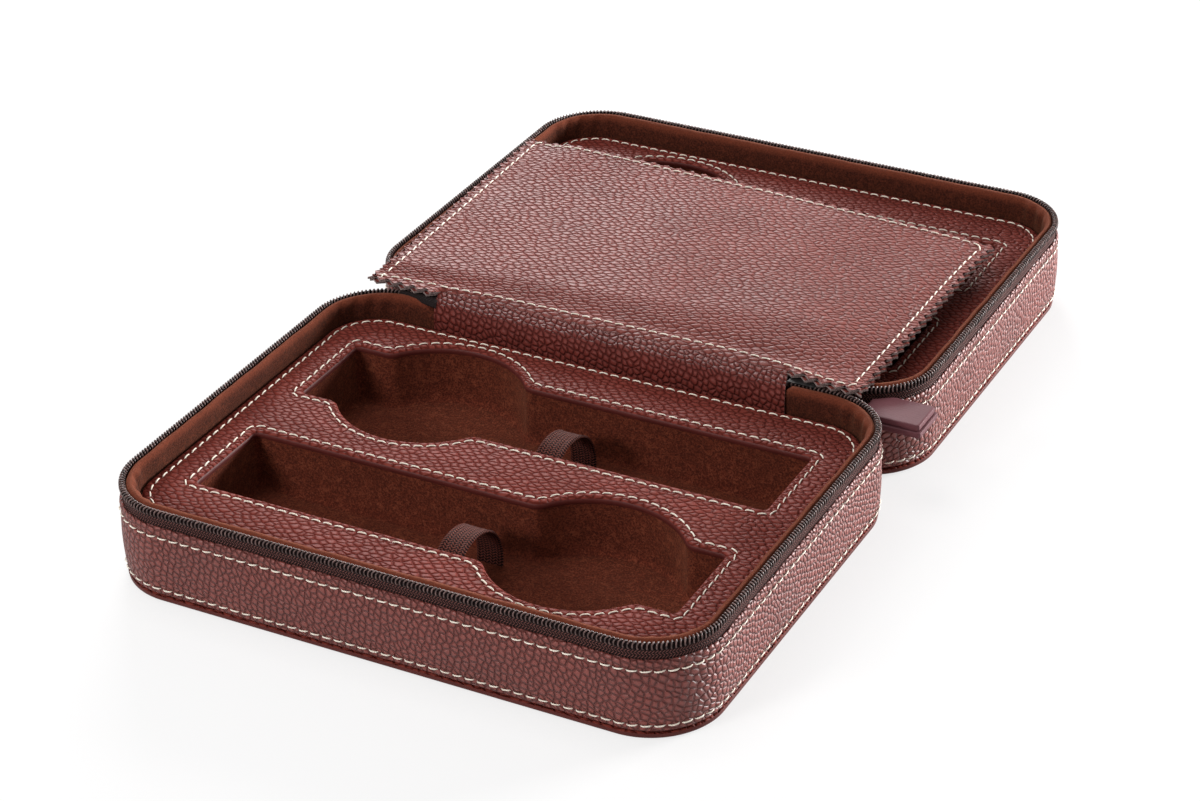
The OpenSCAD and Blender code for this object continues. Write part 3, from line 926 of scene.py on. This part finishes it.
def well_outline(grow):
    """A well's edge anticlockwise, grown by some millimetres, about the well's middle."""
    big, fillet, small = HEAD_R + grow, FLARE_R - grow, WELL_SHARP + 0.2 * grow
    half = WELL_W + grow
    fy = WELL_W + FLARE_R
    fx = math.sqrt((HEAD_R + FLARE_R) ** 2 - fy ** 2)
    theta = math.atan2(fy, fx)
    end = WELL_A + grow - small
    side = half - small
    found = []

    def arc(cx, cy, radius, first, last, size):
        count = max(3, math.ceil(abs(last - first) * size / STEP))
        for i in range(count):
            angle = first + (last - first) * i / count
            found.append((cx + radius * math.cos(angle), cy + radius * math.sin(angle)))

    def line(x0, y0, x1, y1, size):
        count = max(2, math.ceil(size / STEP))
        for i in range(count):
            found.append((x0 + (x1 - x0) * i / count, y0 + (y1 - y0) * i / count))

    quarter = math.pi / 2
    far, near = WELL_A - HEAD_X - fx, WELL_A + HEAD_X - fx
    line(WELL_A + grow, -side, WELL_A + grow, side, 2 * WELL_W)
    arc(end, side, small, 0.0, quarter, 2.5)
    line(end, half, HEAD_X + fx, half, far)
    arc(HEAD_X + fx, fy, fillet, 3 * quarter, math.pi + theta, FLARE_R)
    arc(HEAD_X, 0.0, big, theta, math.pi - theta, HEAD_R)
    arc(HEAD_X - fx, fy, fillet, 2 * math.pi - theta, 3 * quarter, FLARE_R)
    line(HEAD_X - fx, half, -end, half, near)
    arc(-end, side, small, quarter, math.pi, 2.5)
    line(-WELL_A - grow, side, -WELL_A - grow, -side, 2 * WELL_W)
    arc(-end, -side, small, math.pi, 3 * quarter, 2.5)
    line(-end, -half, HEAD_X - fx, -half, near)
    arc(HEAD_X - fx, -fy, fillet, quarter, theta, FLARE_R)
    arc(HEAD_X, 0.0, big, math.pi + theta, 2 * math.pi - theta, HEAD_R)
    arc(HEAD_X + fx, -fy, fillet, math.pi - theta, quarter, FLARE_R)
    line(HEAD_X + fx, -half, end, -half, far)
    arc(end, -side, small, 3 * quarter, 4 * quarter, 2.5)
    return found


def at_well(points, rear):
    sign = 1.0 if rear else -1.0
    return [(sign * x, sign * (y + WELL_Y), z) for x, y, z in points]


PANEL_SEAM = 2.9
WELL_SEAM = 2.75
LINING_TOP = PANEL_Z - 1.5


def panel_outline(inset, z):
    path = outline(PANEL_X - inset, PANEL_Y - inset, PANEL_R - inset)
    return [(x, y, z) for x, y, _, _ in path]


def well_ring(grow, z, rear):
    return at_well([(x, y, z) for x, y in well_outline(grow)], rear)


def insert_leather(tray):
    """The leather on top of the insert, drawn over its edge and over the lips of its wells.
    The profiles are (inset or growth, depth below the top)."""
    edge = [(0.4, 2.6), (0.05, 2.0), (0.1, 1.2), (0.5, 0.6), (1.1, 0.2), (1.8, 0.02),
            (2.4, 0.06), (2.9, 0.24), (3.3, 0.12), (3.6, 0.0)]
    lip = [(0.45, 2.6), (0.05, 2.0), (0.0, 1.2), (0.2, 0.5), (0.65, 0.1), (1.3, -0.06),
           (2.0, -0.02), (2.75, 0.2), (3.2, 0.08), (3.6, 0.0)]
    groups = [[panel_outline(inset, PANEL_Z - depth) for inset, depth in edge]]
    for rear in (True, False):
        groups.append([well_ring(grow, PANEL_Z - depth, rear) for grow, depth in lip])
    points, faces, tops, bottoms = [], [], [], []
    for rings in groups:
        start = len(points)
        ring_points, ring_faces, _ = loft(rings, True, False)
        points += ring_points
        faces += [tuple(start + i for i in face) for face in ring_faces]
        count = len(rings[0])
        bottoms.append((rings[0], range(start, start + count)))
        tops.append((rings[-1], range(len(points) - count, len(points))))
    for loops in (tops, bottoms):
        index = [i for _, numbers in loops for i in numbers]
        for triangle in filled([ring for ring, _ in loops]):
            faces.append(tuple(index[i] for i in triangle))
    piece = finish_mesh(tray + "_insert_leather_skin", in_place(points, tray, False), faces,
                        [PANEL_LEATHER])
    smooth_edges(piece)
    dressed(piece, tray, "pebbled_leather", tray + "_insert_leather")
    lines = [panel_outline(PANEL_SEAM, PANEL_Z - 0.12)]
    lines += [well_ring(WELL_SEAM, PANEL_Z - 0.1, rear) for rear in (True, False)]
    rows = [(in_place(line, tray, False), True) for line in lines]
    stitched(tray + "_insert_stitches", rows, tray)


def well_lining(tray, rear):
    outside = [(LINING_THICK, 3.7), (LINING_THICK, LINING_TOP)]
    inside = [(0.3, LINING_TOP), (0.3, 18.0), (0.25, 12.0), (0.1, 8.0), (-0.2, 6.2),
              (-0.7, 5.3), (-1.3, WELL_FLOOR + 0.1), (-1.8, WELL_FLOOR)]
    points, faces = capped_loft([well_ring(grow, z, rear) for grow, z in outside + inside])
    well = f"{tray}_well_{'rear' if rear else 'front'}"
    piece = finish_mesh(well + "_lining", in_place(points, tray, False), faces, [WELL_SUEDE])
    dressed(piece, tray, "suede", well)


BAND_RADIUS = 15.5
BAND_CENTRE = 11.0
BAND_SINK = 0.25
BAND_ARC = math.radians(137.0), math.radians(-13.0)
BAND_STEPS = 44


def elastic_band(tray, rear):
    """A braided band arched over the well, from under the lip to the floor."""
    place = "rear" if rear else "front"
    low, high = box_mm("base_band_" + place)
    centre_y = low[1] + BAND_CENTRE
    centre_z = high[2] - BAND_RADIUS
    half = (high[0] - low[0]) / 2
    middle = (high[0] + low[0]) / 2
    section = [(-half, -0.45), (-half + 0.4, -0.72), (-half + 1.0, -0.6), (half - 1.0, -0.6),
               (half - 0.4, -0.72), (half, -0.45), (half, -0.1), (half - 0.4, 0.2),
               (half - 1.0, 0.06), (0.0, 0.0), (-half + 1.0, 0.06), (-half + 0.4, 0.2),
               (-half, -0.1)]
    first, last = BAND_ARC
    rings = []
    for offset, rise in section:
        ring = []
        for i in range(BAND_STEPS + 1):
            angle = first + (last - first) * i / BAND_STEPS
            r = BAND_RADIUS - BAND_SINK + rise
            ring.append((middle + offset, centre_y + r * math.cos(angle),
                         centre_z + r * math.sin(angle)))
        rings.append(ring)
    length = (first - last) * BAND_RADIUS
    points, faces, _ = loft(rings, False)
    uvs = []
    for face in faces:
        spots = [divmod(index, BAND_STEPS + 1) for index in face]
        uvs.append(tuple((length * i / BAND_STEPS, section[ring][0] + half)
                         for ring, i in spots))
    band = f"{tray}_band_{place}"
    piece = finish_mesh(band + "_braid", in_place(points, tray, False), faces, [ELASTIC], uvs)
    dressed(piece, tray, "elastic", band)


# ---- Spine and divider

STRIP_STEP = 2.2
STRIP_THICK = 1.1
DROP_THICK = 0.85
DROP_END = 0.2


def strip_along_x(name, profile, x0, x1, thickness, wave=None, lean=0.0):
    """Spine leather along X with a profile of (distance from the hinge line, height), thickened
    downwards along the profile's normal. On the base side its ends lean along X."""
    count = max(2, round((x1 - x0) / STRIP_STEP))
    under = []
    for i, (y, z) in enumerate(profile):
        before, after = profile[max(0, i - 1)], profile[min(len(profile) - 1, i + 1)]
        dy, dz = after[0] - before[0], after[1] - before[1]
        size = math.hypot(dy, dz)
        under.append((y + dz / size * thickness, z - dy / size * thickness))
    rings = []
    for y, z in profile + under[::-1]:
        ring = []
        for i in range(count + 1):
            x = x0 + (x1 - x0) * i / count
            rise = wave(x, y) if wave else 0.0
            ring.append((x + clamp(-y / STRIP_HALF) * lean, HINGE_Y + y, z + rise))
        rings.append(ring)
    points, faces, uvs = loft(rings, False)
    cut_ends = [0] * (len(faces) - 2) + [1, 1]
    return finish_mesh(name, metres(points), faces, [SPINE_LEATHER, RAW_EDGE], uvs, 50.0, cut_ends)


def strip_wave(x, y):
    return 0.12 * math.sin(x / 13.0) + 0.06 * math.sin(x / 5.0 + y)


def spine():
    """The strip that bridges the trays, and the leather behind it on each tray's wall."""
    side = STRIP_HALF
    base_side = [(-side, 17.0), (-side, 21.0), (-8.8, 24.5), (-8.65, 26.8), (-8.2, 28.7),
                 (-7.3, 30.1), (-6.0, 30.95), (-4.4, 31.5), (-2.8, 31.85), (-1.4, 32.12),
                 (-0.6, 32.28)]
    lid_side = [(0.3, 32.3), (0.8, 31.8), (1.5, 31.35), (2.6, 31.15), (4.4, 31.0), (6.0, 30.75),
                (7.3, 30.0), (8.2, 28.6), (8.65, 26.7), (8.8, 24.5), (side, 21.0), (side, 17.0)]
    piece = strip_along_x("spine_strip", base_side + lid_side, -STRIP_LEFT, STRIP_RIGHT,
                          STRIP_THICK, strip_wave, STRIP_LEAN)
    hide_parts("base_spine_leather", "lid_spine_leather")
    (HINGE_Y - 1.3) * MM
    (HINGE_Y + 1.3) * MM
    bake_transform(piece)
    drops = {"base": [(-0.4, 30.0), (-0.4, 26.0), (-0.45, 21.6)],
             "lid": [(0.45, 21.6), (0.4, 26.0), (0.4, 30.0)]}
    for tray, drop in drops.items():
        left, right = ZIP_ENDS[tray]
        piece = strip_along_x(tray + "_spine_drop", drop, DROP_END - left, right - DROP_END,
                              DROP_THICK)
        dressed(piece, tray, "pebbled_leather")


# Divider: nominal size, thickness of a face and height of its underside, then the neck
DIVIDER_WIDE, DIVIDER_LONG = 176.0, 114.0
DIVIDER_THICK = 0.8
DIVIDER_UNDER = 31.55
NECK_TIP, NECK_END, NECK_ROOT = 0.1, 3.8, 5.0
NECK_TOP = 32.35

# The pinked edge, how far the lower face stands out past the upper one, the gap to the zip that
# splits off the margins, and the margins outside the stitches
PINK_PITCH = 4.8
PINK_DEPTH = 1.9
PINK_CUT = (0.0, 0.5, 1.0, 0.5)
LOWER_GROW = 0.45
RING_GAP = 0.8
SIDE_MARGIN = 4.1
BACK_MARGIN = 2.9

# Folds for the margins, looked up but not applied: the way they flatten and the point they flatten
# towards
FOLDS = {"left": ((0.331, 0.943, 0.0), (-93.0, HINGE_Y + 17.0, 32.0)),
         "right": ((0.0, 1.0, 0.0), (83.0, HINGE_Y + 7.0, 32.0))}

# Bent lines: (x, y) along the front and the back, (share of the length, x) along the sides
FRONT_EDGE = [(-92.0, -3.0), (-67.0, -3.5), (57.0, -0.6), (63.0, -1.6), (71.0, -3.3), (84.0, -3.1)]
FRONT_ROW = [(-90.0, 0.0), (-70.0, 1.8), (-46.0, 3.5), (0.0, 4.0), (39.0, 4.5), (55.0, 3.2),
             (66.0, 0.8), (84.0, -1.4)]
BACK_EDGE = [(-95.0, 113.8), (-2.0, 113.2), (50.0, 109.8), (70.0, 108.3), (86.0, 105.6)]
LEFT_EDGE = [(0.0, -91.3), (0.3, -92.2), (0.6, -93.0), (1.0, -94.4)]
RIGHT_EDGE = [(0.0, 83.3), (0.3, 83.7), (0.65, 83.7), (0.85, 84.3), (1.0, 85.4)]


def along_line(line, place):
    """The height of a bent line at a place."""
    for (x0, y0), (x1, y1) in zip(line, line[1:]):
        if place <= x1:
            share = max(0.0, (place - x0) / (x1 - x0))
            return y0 + (y1 - y0) * share
    return line[-1][1]


def divider_spot(u, v):
    """A place on the divider from shares of its width and length."""
    left, right = along_line(LEFT_EDGE, v), along_line(RIGHT_EDGE, v)
    x = left + (right - left) * u
    front, back = along_line(FRONT_EDGE, x), along_line(BACK_EDGE, x)
    return x, front + (back - front) * v


def divider_height(x, y, layer):
    """Underside and thickness of a leather face (0 upper, 1 lower): slow waves that fade towards
    the edges, and a neck pared thin at the hinge."""
    wave = 0.65 * math.sin(x / 31.0 + 0.6) * math.sin(y / 26.0 + 0.4)
    wave += 0.18 * math.sin(x / 14.5 - y / 19.0) + 0.35
    for depth, width in ((y - 6.0, 8.0), (x + 86.0, 12.0), (80.0 - x, 10.0)):
        wave *= eased(depth / width)
    under = DIVIDER_UNDER + max(0.0, wave)
    under += 0.25 * clamp((NECK_ROOT - y) / 4.0)
    thick = DIVIDER_THICK
    if -STRIP_LEFT < x < STRIP_RIGHT and y < NECK_ROOT:
        share = clamp((y - NECK_TIP) / (NECK_END - NECK_TIP))
        rise = math.sin(share * math.pi / 2)
        top = NECK_TOP + (under + 2 * thick - NECK_TOP) * rise
        thick *= 0.1 + 0.9 * share
        under = top - 2 * thick
    return under + (1 - layer) * thick, thick - 0.04 * layer


def in_ring(x, y):
    """Whether a point of the divider lies inside the zip, or in the neck between its ends."""
    if -STRIP_LEFT + 1 < x < STRIP_RIGHT - 1:
        return True
    edge = COIL_INSET + COIL_W + RING_GAP
    depth = y - (HINGE_Y - HALF_Y)
    if depth < edge + 0.5:
        return False
    corner_x = abs(x) - (HALF_X - CORNER_R)
    corner_y = CORNER_R - depth
    if corner_x > 0 and corner_y > 0:
        return math.hypot(corner_x, corner_y) < CORNER_R - edge
    return True


CELL = PINK_PITCH / 4
COLUMNS = round(DIVIDER_WIDE / CELL)
ROWS = round(DIVIDER_LONG / CELL)


def divider_face(name, keep, layer):
    """The part of a leather face whose cells are kept, its edge cut by pinking shears."""
    grow = LOWER_GROW * layer

    def corner(i, j):
        x, y = divider_spot(i / COLUMNS, j / ROWS)
        tooth = PINK_DEPTH * PINK_CUT[(i + j + layer) % 4] - grow
        if i == 0:
            x += tooth
        if i == COLUMNS:
            x -= tooth
        if j == ROWS:
            y -= tooth
        if -STRIP_LEFT < x < STRIP_RIGHT:
            y = max(y, NECK_TIP - 0.3 * layer)
        elif j == 0:
            y += tooth
        under, thick = divider_height(x, y, layer)
        return x, HINGE_Y + y, under, under + thick

    index, points, faces, materials, edges = {}, [], [], [], {}

    def vertex(place, top):
        key = (*place, top)
        if key not in index:
            x, y, low, high = corner(*place)
            index[key] = len(points)
            points.append(Vector((x, y, high if top else low)) * MM)
        return index[key]

    for i in range(COLUMNS):
        for j in range(ROWS):
            cell = [(i, j), (i + 1, j), (i + 1, j + 1), (i, j + 1)]
            spots = [corner(*place) for place in cell]
            flat = max(s[1] for s in spots) - min(s[1] for s in spots) < 0.3
            if flat or not keep([(x, y - HINGE_Y) for x, y, _, _ in spots]):
                continue
            faces.append(tuple(vertex(place, True) for place in cell))
            faces.append(tuple(vertex(place, False) for place in reversed(cell)))
            materials += [0, 0]
            for a, b in zip(cell, cell[1:] + cell[:1]):
                if (b, a) in edges:
                    del edges[(b, a)]
                else:
                    edges[(a, b)] = True
    for a, b in edges:
        faces.append((vertex(a, True), vertex(a, False), vertex(b, False), vertex(b, True)))
        materials.append(1)
    return finish_mesh(name, points, faces, [DIVIDER_LEATHER, RAW_EDGE], painted=materials)


def fold_away(piece, side):
    """Gives the piece a mesh of its own; the side's fold is looked up but not applied."""
    axis, anchor = FOLDS[side]
    tuple(v * MM for v in anchor)
    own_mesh(piece)


def divider():
    def inside(spots):
        return all(in_ring(x, y) for x, y in spots)

    for layer, place in ((0, "upper"), (1, "lower")):
        piece = divider_face(f"divider_{place}_face", inside, layer)
        dressed(piece, "divider", "pebbled_leather", f"divider_{place}_leather")
        for side, sign in (("left", -1.0), ("right", 1.0)):
            margin = divider_face(
                f"divider_{place}_{side}_margin",
                lambda spots, k=sign: spots[0][0] * k > 0 and not inside(spots), layer)
            dressed(margin, "divider", "pebbled_leather")
            fold_away(margin, side)


def divider_board():
    """The stiffener between the two faces, sunk into both."""
    columns, rows = 40, 26
    sunk, proud = 0.2, 0.16
    points, faces = [], []
    for i in range(columns + 1):
        for j in range(rows + 1):
            x, y = divider_spot(0.06 + 0.88 * i / columns, 0.12 + 0.82 * j / rows)
            low, _ = divider_height(x, y, 0)
            points += [(x, HINGE_Y + y, low - sunk), (x, HINGE_Y + y, low + proud)]
    line = 2 * (rows + 1)
    for i in range(columns):
        for j in range(rows):
            a = i * line + 2 * j
            faces.append((a, a + 2, a + line + 2, a + line))
            faces.append((a + 1, a + line + 1, a + line + 3, a + 3))
    for i in range(columns):
        for a in (i * line, i * line + 2 * rows):
            faces.append((a, a + line, a + line + 1, a + 1))
    for j in range(rows):
        for a in (2 * j, columns * line + 2 * j):
            faces.append((a, a + 2, a + 3, a + 1))
    piece = finish_mesh("divider_board", metres(points), faces, [BOARD])
    dressed(piece, "divider", "board", "divider_stiffener")


def divider_stitches():
    """Rows inside the pinked edge, split where the margins start."""
    front_count = 130
    v0, v1 = 0.03, 1 - BACK_MARGIN / DIVIDER_LONG
    u0, u1 = SIDE_MARGIN / DIVIDER_WIDE, 1 - SIDE_MARGIN / DIVIDER_WIDE
    left, right = divider_spot(u0, v0)[0], divider_spot(u1, v0)[0]
    path = []
    for i in range(front_count):
        x = left + (right - left) * i / front_count
        path.append((x, along_line(FRONT_ROW, x)))
    for ua, va, ub, vb in ((u1, v0, u1, v1), (u1, v1, u0, v1), (u0, v1, u0, v0)):
        count = round(math.hypot((ub - ua) * DIVIDER_WIDE, (vb - va) * DIVIDER_LONG) / 1.3)
        for i in range(count):
            path.append(divider_spot(ua + (ub - ua) * i / count, va + (vb - va) * i / count))
    runs = {"divider": [], "left": [], "right": []}
    current, last = [], None
    for x, y in path + path[:1]:
        where = "divider" if in_ring(x, y) else ("left" if x < 0 else "right")
        if where != last and current:
            runs[last].append(current)
            current = [current[-1]]
        last = where
        under, thick = divider_height(x, y, 0)
        current.append(Vector((x, HINGE_Y + y, under + thick - 0.03)) * MM)
    runs[last].append(current)
    for where, rows in runs.items():
        rows = [(row, False) for row in rows if len(row) > 2]
        if rows:
            piece = stitched("divider_stitches_" + where, rows, "divider")
            if where != "divider":
                fold_away(piece, where)


# ---- Zip pull

BEVEL = 0.18
SHARP_ANGLE = math.radians(35)
TAIL_START, TAIL_WIDE = -78.5, 79.0
TAB_START, TAB_END = 84.3, 104.4
TAB_HALF, TAB_TIP = 6.95, 3.1


def rounded_copy(node, name, top=None):
    """A CAD node's own shape in black metal with its edges rounded, pressed flat above top."""
    source = frame["nodes"][node]
    mesh = source.data.copy()
    mesh.name = name
    work = bmesh.new()
    work.from_mesh(mesh)
    bmesh.ops.remove_doubles(work, verts=work.verts, dist=1e-6)
    bmesh.ops.dissolve_limit(work, angle_limit=math.radians(1.0), verts=work.verts,
                             edges=work.edges)
    if top:
        pressed = 1.2
        start = (top - pressed) * MM
        highest = max(v.co.z for v in work.verts)
        for vert in work.verts:
            if vert.co.z > start:
                share = (vert.co.z - start) / (highest - start)
                vert.co.z = (top - pressed + pressed * share) * MM
    sharp = [e for e in work.edges if e.calc_face_angle(0.0) > SHARP_ANGLE]
    bmesh.ops.bevel(work, geom=sharp, offset=BEVEL * MM, segments=3, profile=0.6,
                    affect="EDGES", clamp_overlap=True)
    soften(work, 40.0)
    work.to_mesh(mesh)
    work.free()
    mesh.materials.clear()
    mesh.materials.append(METAL)
    dressed(linked(name, mesh), source["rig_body"], "dark_metal", node)


def zip_tail():
    """The end of the zip's tape, folded over the ridge beside the spine, in the near-black copy of
    the weave that is painted shade.
    """
    rings = []
    for share, z in ((0.0, 31.15), (0.2, 31.5), (0.45, 31.7), (0.65, 31.68), (0.85, 31.3),
                     (1.0, 30.5), (0.97, 30.2), (0.84, 30.9), (0.65, 31.3), (0.45, 31.32),
                     (0.2, 31.15), (0.0, 30.8)):
        ring = []
        for i in range(12):
            t = i / 11
            y = -1.6 - share * (3.2 + 2.6 * t)
            x = TAIL_START + (TAIL_WIDE - STRIP_LEFT - STRIP_LEAN * y / STRIP_HALF) * t
            ring.append((x, HINGE_Y + y, z + 0.06 * math.sin(x / 2.3)))
        rings.append(ring)
    points, faces, uvs = loft(rings, False)
    piece = finish_mesh("zip_tape_tail", metres(points), faces, [TAPE_IN_SHADE], uvs)
    dressed(piece, "base", "zip_tape")


def tab_layer(name, low, high, inset, node):
    """One leather layer of the pull tab, with a rounded rim."""
    x0, x1, half = TAB_START + inset * 0.3, TAB_END - inset, TAB_HALF - inset
    far = half + 0.8
    corners = [(x0, -TAB_TIP), (x0 + 5.4, -half + 0.2), (x0 + 6.6, -half), (x1 - 0.5, -half),
               (x1, -half + 0.5), (x1, far - 0.5), (x1 - 0.5, far), (x0 + 6.6, far),
               (x0 + 5.4, far - 0.2), (x0, TAB_TIP)]
    middle = (x0 + x1) / 2
    rings = []
    for shrink, z in ((0.45, low), (0.12, low + 0.12), (0.0, low + 0.4), (0.0, high - 0.5),
                      (0.12, high - 0.16), (0.4, high - 0.02), (0.7, high), (1.2, high)):
        ring = []
        for x, y in corners:
            keep = 1 - shrink / math.hypot(x - middle, y)
            ring.append((middle + (x - middle) * keep, HINGE_Y + y * keep, z))
        rings.append(ring)
    points, faces, uvs = loft(rings, True, False)
    count = len(corners)
    for start in (0, len(points) - count):
        faces.append(tuple(range(start, start + count)))
        uvs.append(((0.0, 0.0),) * count)
    piece = finish_mesh(name, metres(points), faces, [TAB_LEATHER], uvs, 30.0)
    dressed(piece, "pull", "tab_leather", node)


def zip_pull():
    rounded_copy("zip_slider", "zip_slider_body", 31.65)
    rounded_copy("pull_link", "pull_link_bar")
    tab_layer("pull_tab_upper_layer", 26.3, 28.4, 0.7, "pull_tab_upper")
    tab_layer("pull_tab_lower_layer", 24.3, 26.25, 0.0, "pull_tab_lower")


# ---- The whole case

HIDDEN = {"bottom_board": BOARD, "wall_board": DYED_BOARD, "insert_foam": BOARD}


def case():
    for tray in ("base", "lid"):
        wall_leather(tray)
        bottom_leather(tray)
        rim_suede(tray)
        zip_half(tray)
        wall_stitches(tray)
        insert_leather(tray)
        for rear in (True, False):
            well_lining(tray, rear)
            elastic_band(tray, rear)
        for part, board in HIDDEN.items():
            mesh = frame["nodes"][f"{tray}_{part}"].data
            mesh.materials.clear()
            mesh.materials.append(board)
    spine()
    divider()
    divider_stitches()
    divider_board()
    zip_tail()
    zip_pull()
    for item in (STITCH, TOOTH):
        bpy.data.objects.remove(item)


# ---- Studio. Lengths here are in metres, apart from the camera's target and distance

AIM = (0.0, 0.07, 0.02)
LAMPS = (("softbox_above", (-0.25, 0.1, 1.05), AIM, (0.5, 0.5), 3.0),
         ("softbox_back", (-0.68, 1.1, 0.5), (-0.05, 0.12, 0.03), (0.5, 0.28), 12.0),
         ("softbox_right", (0.85, 1.15, 0.2), AIM, (0.5, 0.3), 50.0),
         ("softbox_front", (-0.45, -0.65, 1.0), AIM, (0.35, 0.35), 2.2),
         ("softbox_low", (-0.45, -1.0, 0.62), AIM, (0.3, 0.25), 7.0))
FLOOR_HALF = 6.0
WORLD_LIGHT = 0.3
PAPER_GLOW = 0.72


def camera():
    azimuth, elevation, roll = (math.radians(a) for a in (27.888, 30.05, -1.103))
    focal_px, width_px = 3086.5, 1200.0
    distance = 962.9
    target = Vector((2.86, 55.94, 19.5))
    back = Vector((math.sin(azimuth) * math.cos(elevation),
                   -math.cos(azimuth) * math.cos(elevation), math.sin(elevation)))
    right = Vector((math.cos(azimuth), math.sin(azimuth), 0.0))
    up = back.cross(right)
    tilted_right = right * math.cos(roll) + up * math.sin(roll)
    tilted_up = up * math.cos(roll) - right * math.sin(roll)
    data = bpy.data.cameras.new("camera")
    data.sensor_width = 36.0
    data.lens = focal_px / width_px * data.sensor_width
    data.clip_end = 20.0
    lens = linked("camera", data)
    turn = Matrix((tilted_right, tilted_up, back)).transposed().to_4x4()
    lens.matrix_world = Matrix.Translation((target + back * distance) * MM) @ turn
    bpy.context.scene.camera = lens


def lamp(name, place, aim, size, power):
    data = bpy.data.lights.new(name, "AREA")
    data.shape = "RECTANGLE"
    data.size, data.size_y = size
    data.energy = power
    turn = (Vector(aim) - Vector(place)).to_track_quat("-Z", "Y").to_matrix().to_4x4()
    linked(name, data).matrix_world = Matrix.Translation(place) @ turn


def backdrop_share(tree):
    """1 for a ray that shows the backdrop: seen, mirrored or through something clear."""
    path = tree.nodes.new("ShaderNodeLightPath")
    seen, mirrored, through = (Field(tree, path.outputs[name]) for name in (
        "Is Camera Ray", "Is Glossy Ray", "Is Transmission Ray"))
    return (seen + mirrored + through).smaller(1.0)


def white_paper():
    """Pale paper that looks white to the camera and keeps the case's shadow."""
    paper = Finish("white_paper", Base_Color=(0.9, 0.89, 0.89, 1.0), Roughness=0.6,
                   Specular_IOR_Level=0.2)
    glow = paper.tree.nodes.new("ShaderNodeEmission")
    mixer = paper.tree.nodes.new("ShaderNodeMixShader")
    output = paper.tree.nodes["Material Output"]
    share = backdrop_share(paper.tree) * PAPER_GLOW
    for start, end in ((share.socket, mixer.inputs[0]),
                       (paper.shader.outputs[0], mixer.inputs[1]),
                       (glow.outputs[0], mixer.inputs[2]),
                       (mixer.outputs[0], output.inputs["Surface"])):
        paper.tree.links.new(start, end)
    return paper.material


def studio():
    bpy.context.scene.view_settings.view_transform = "Standard"
    world = bpy.data.worlds.new("studio")
    world.use_nodes = True
    bpy.context.scene.world = world
    tree = world.node_tree
    background = tree.nodes["Background"]
    strength = backdrop_share(tree) * (1.0 - WORLD_LIGHT) + WORLD_LIGHT
    plug(tree, background.inputs["Strength"], strength)
    background.inputs["Color"].default_value = (1.0, 1.0, 1.0, 1.0)
    mesh = bpy.data.meshes.new("floor")
    half = FLOOR_HALF
    mesh.from_pydata([(-half, -half, 0), (half, -half, 0), (half, half, 0), (-half, half, 0)], [],
                     [(0, 1, 2, 3)])
    mesh.materials.append(white_paper())
    linked("floor", mesh)
    for row in LAMPS:
        lamp(*row)


camera()
studio()
case()
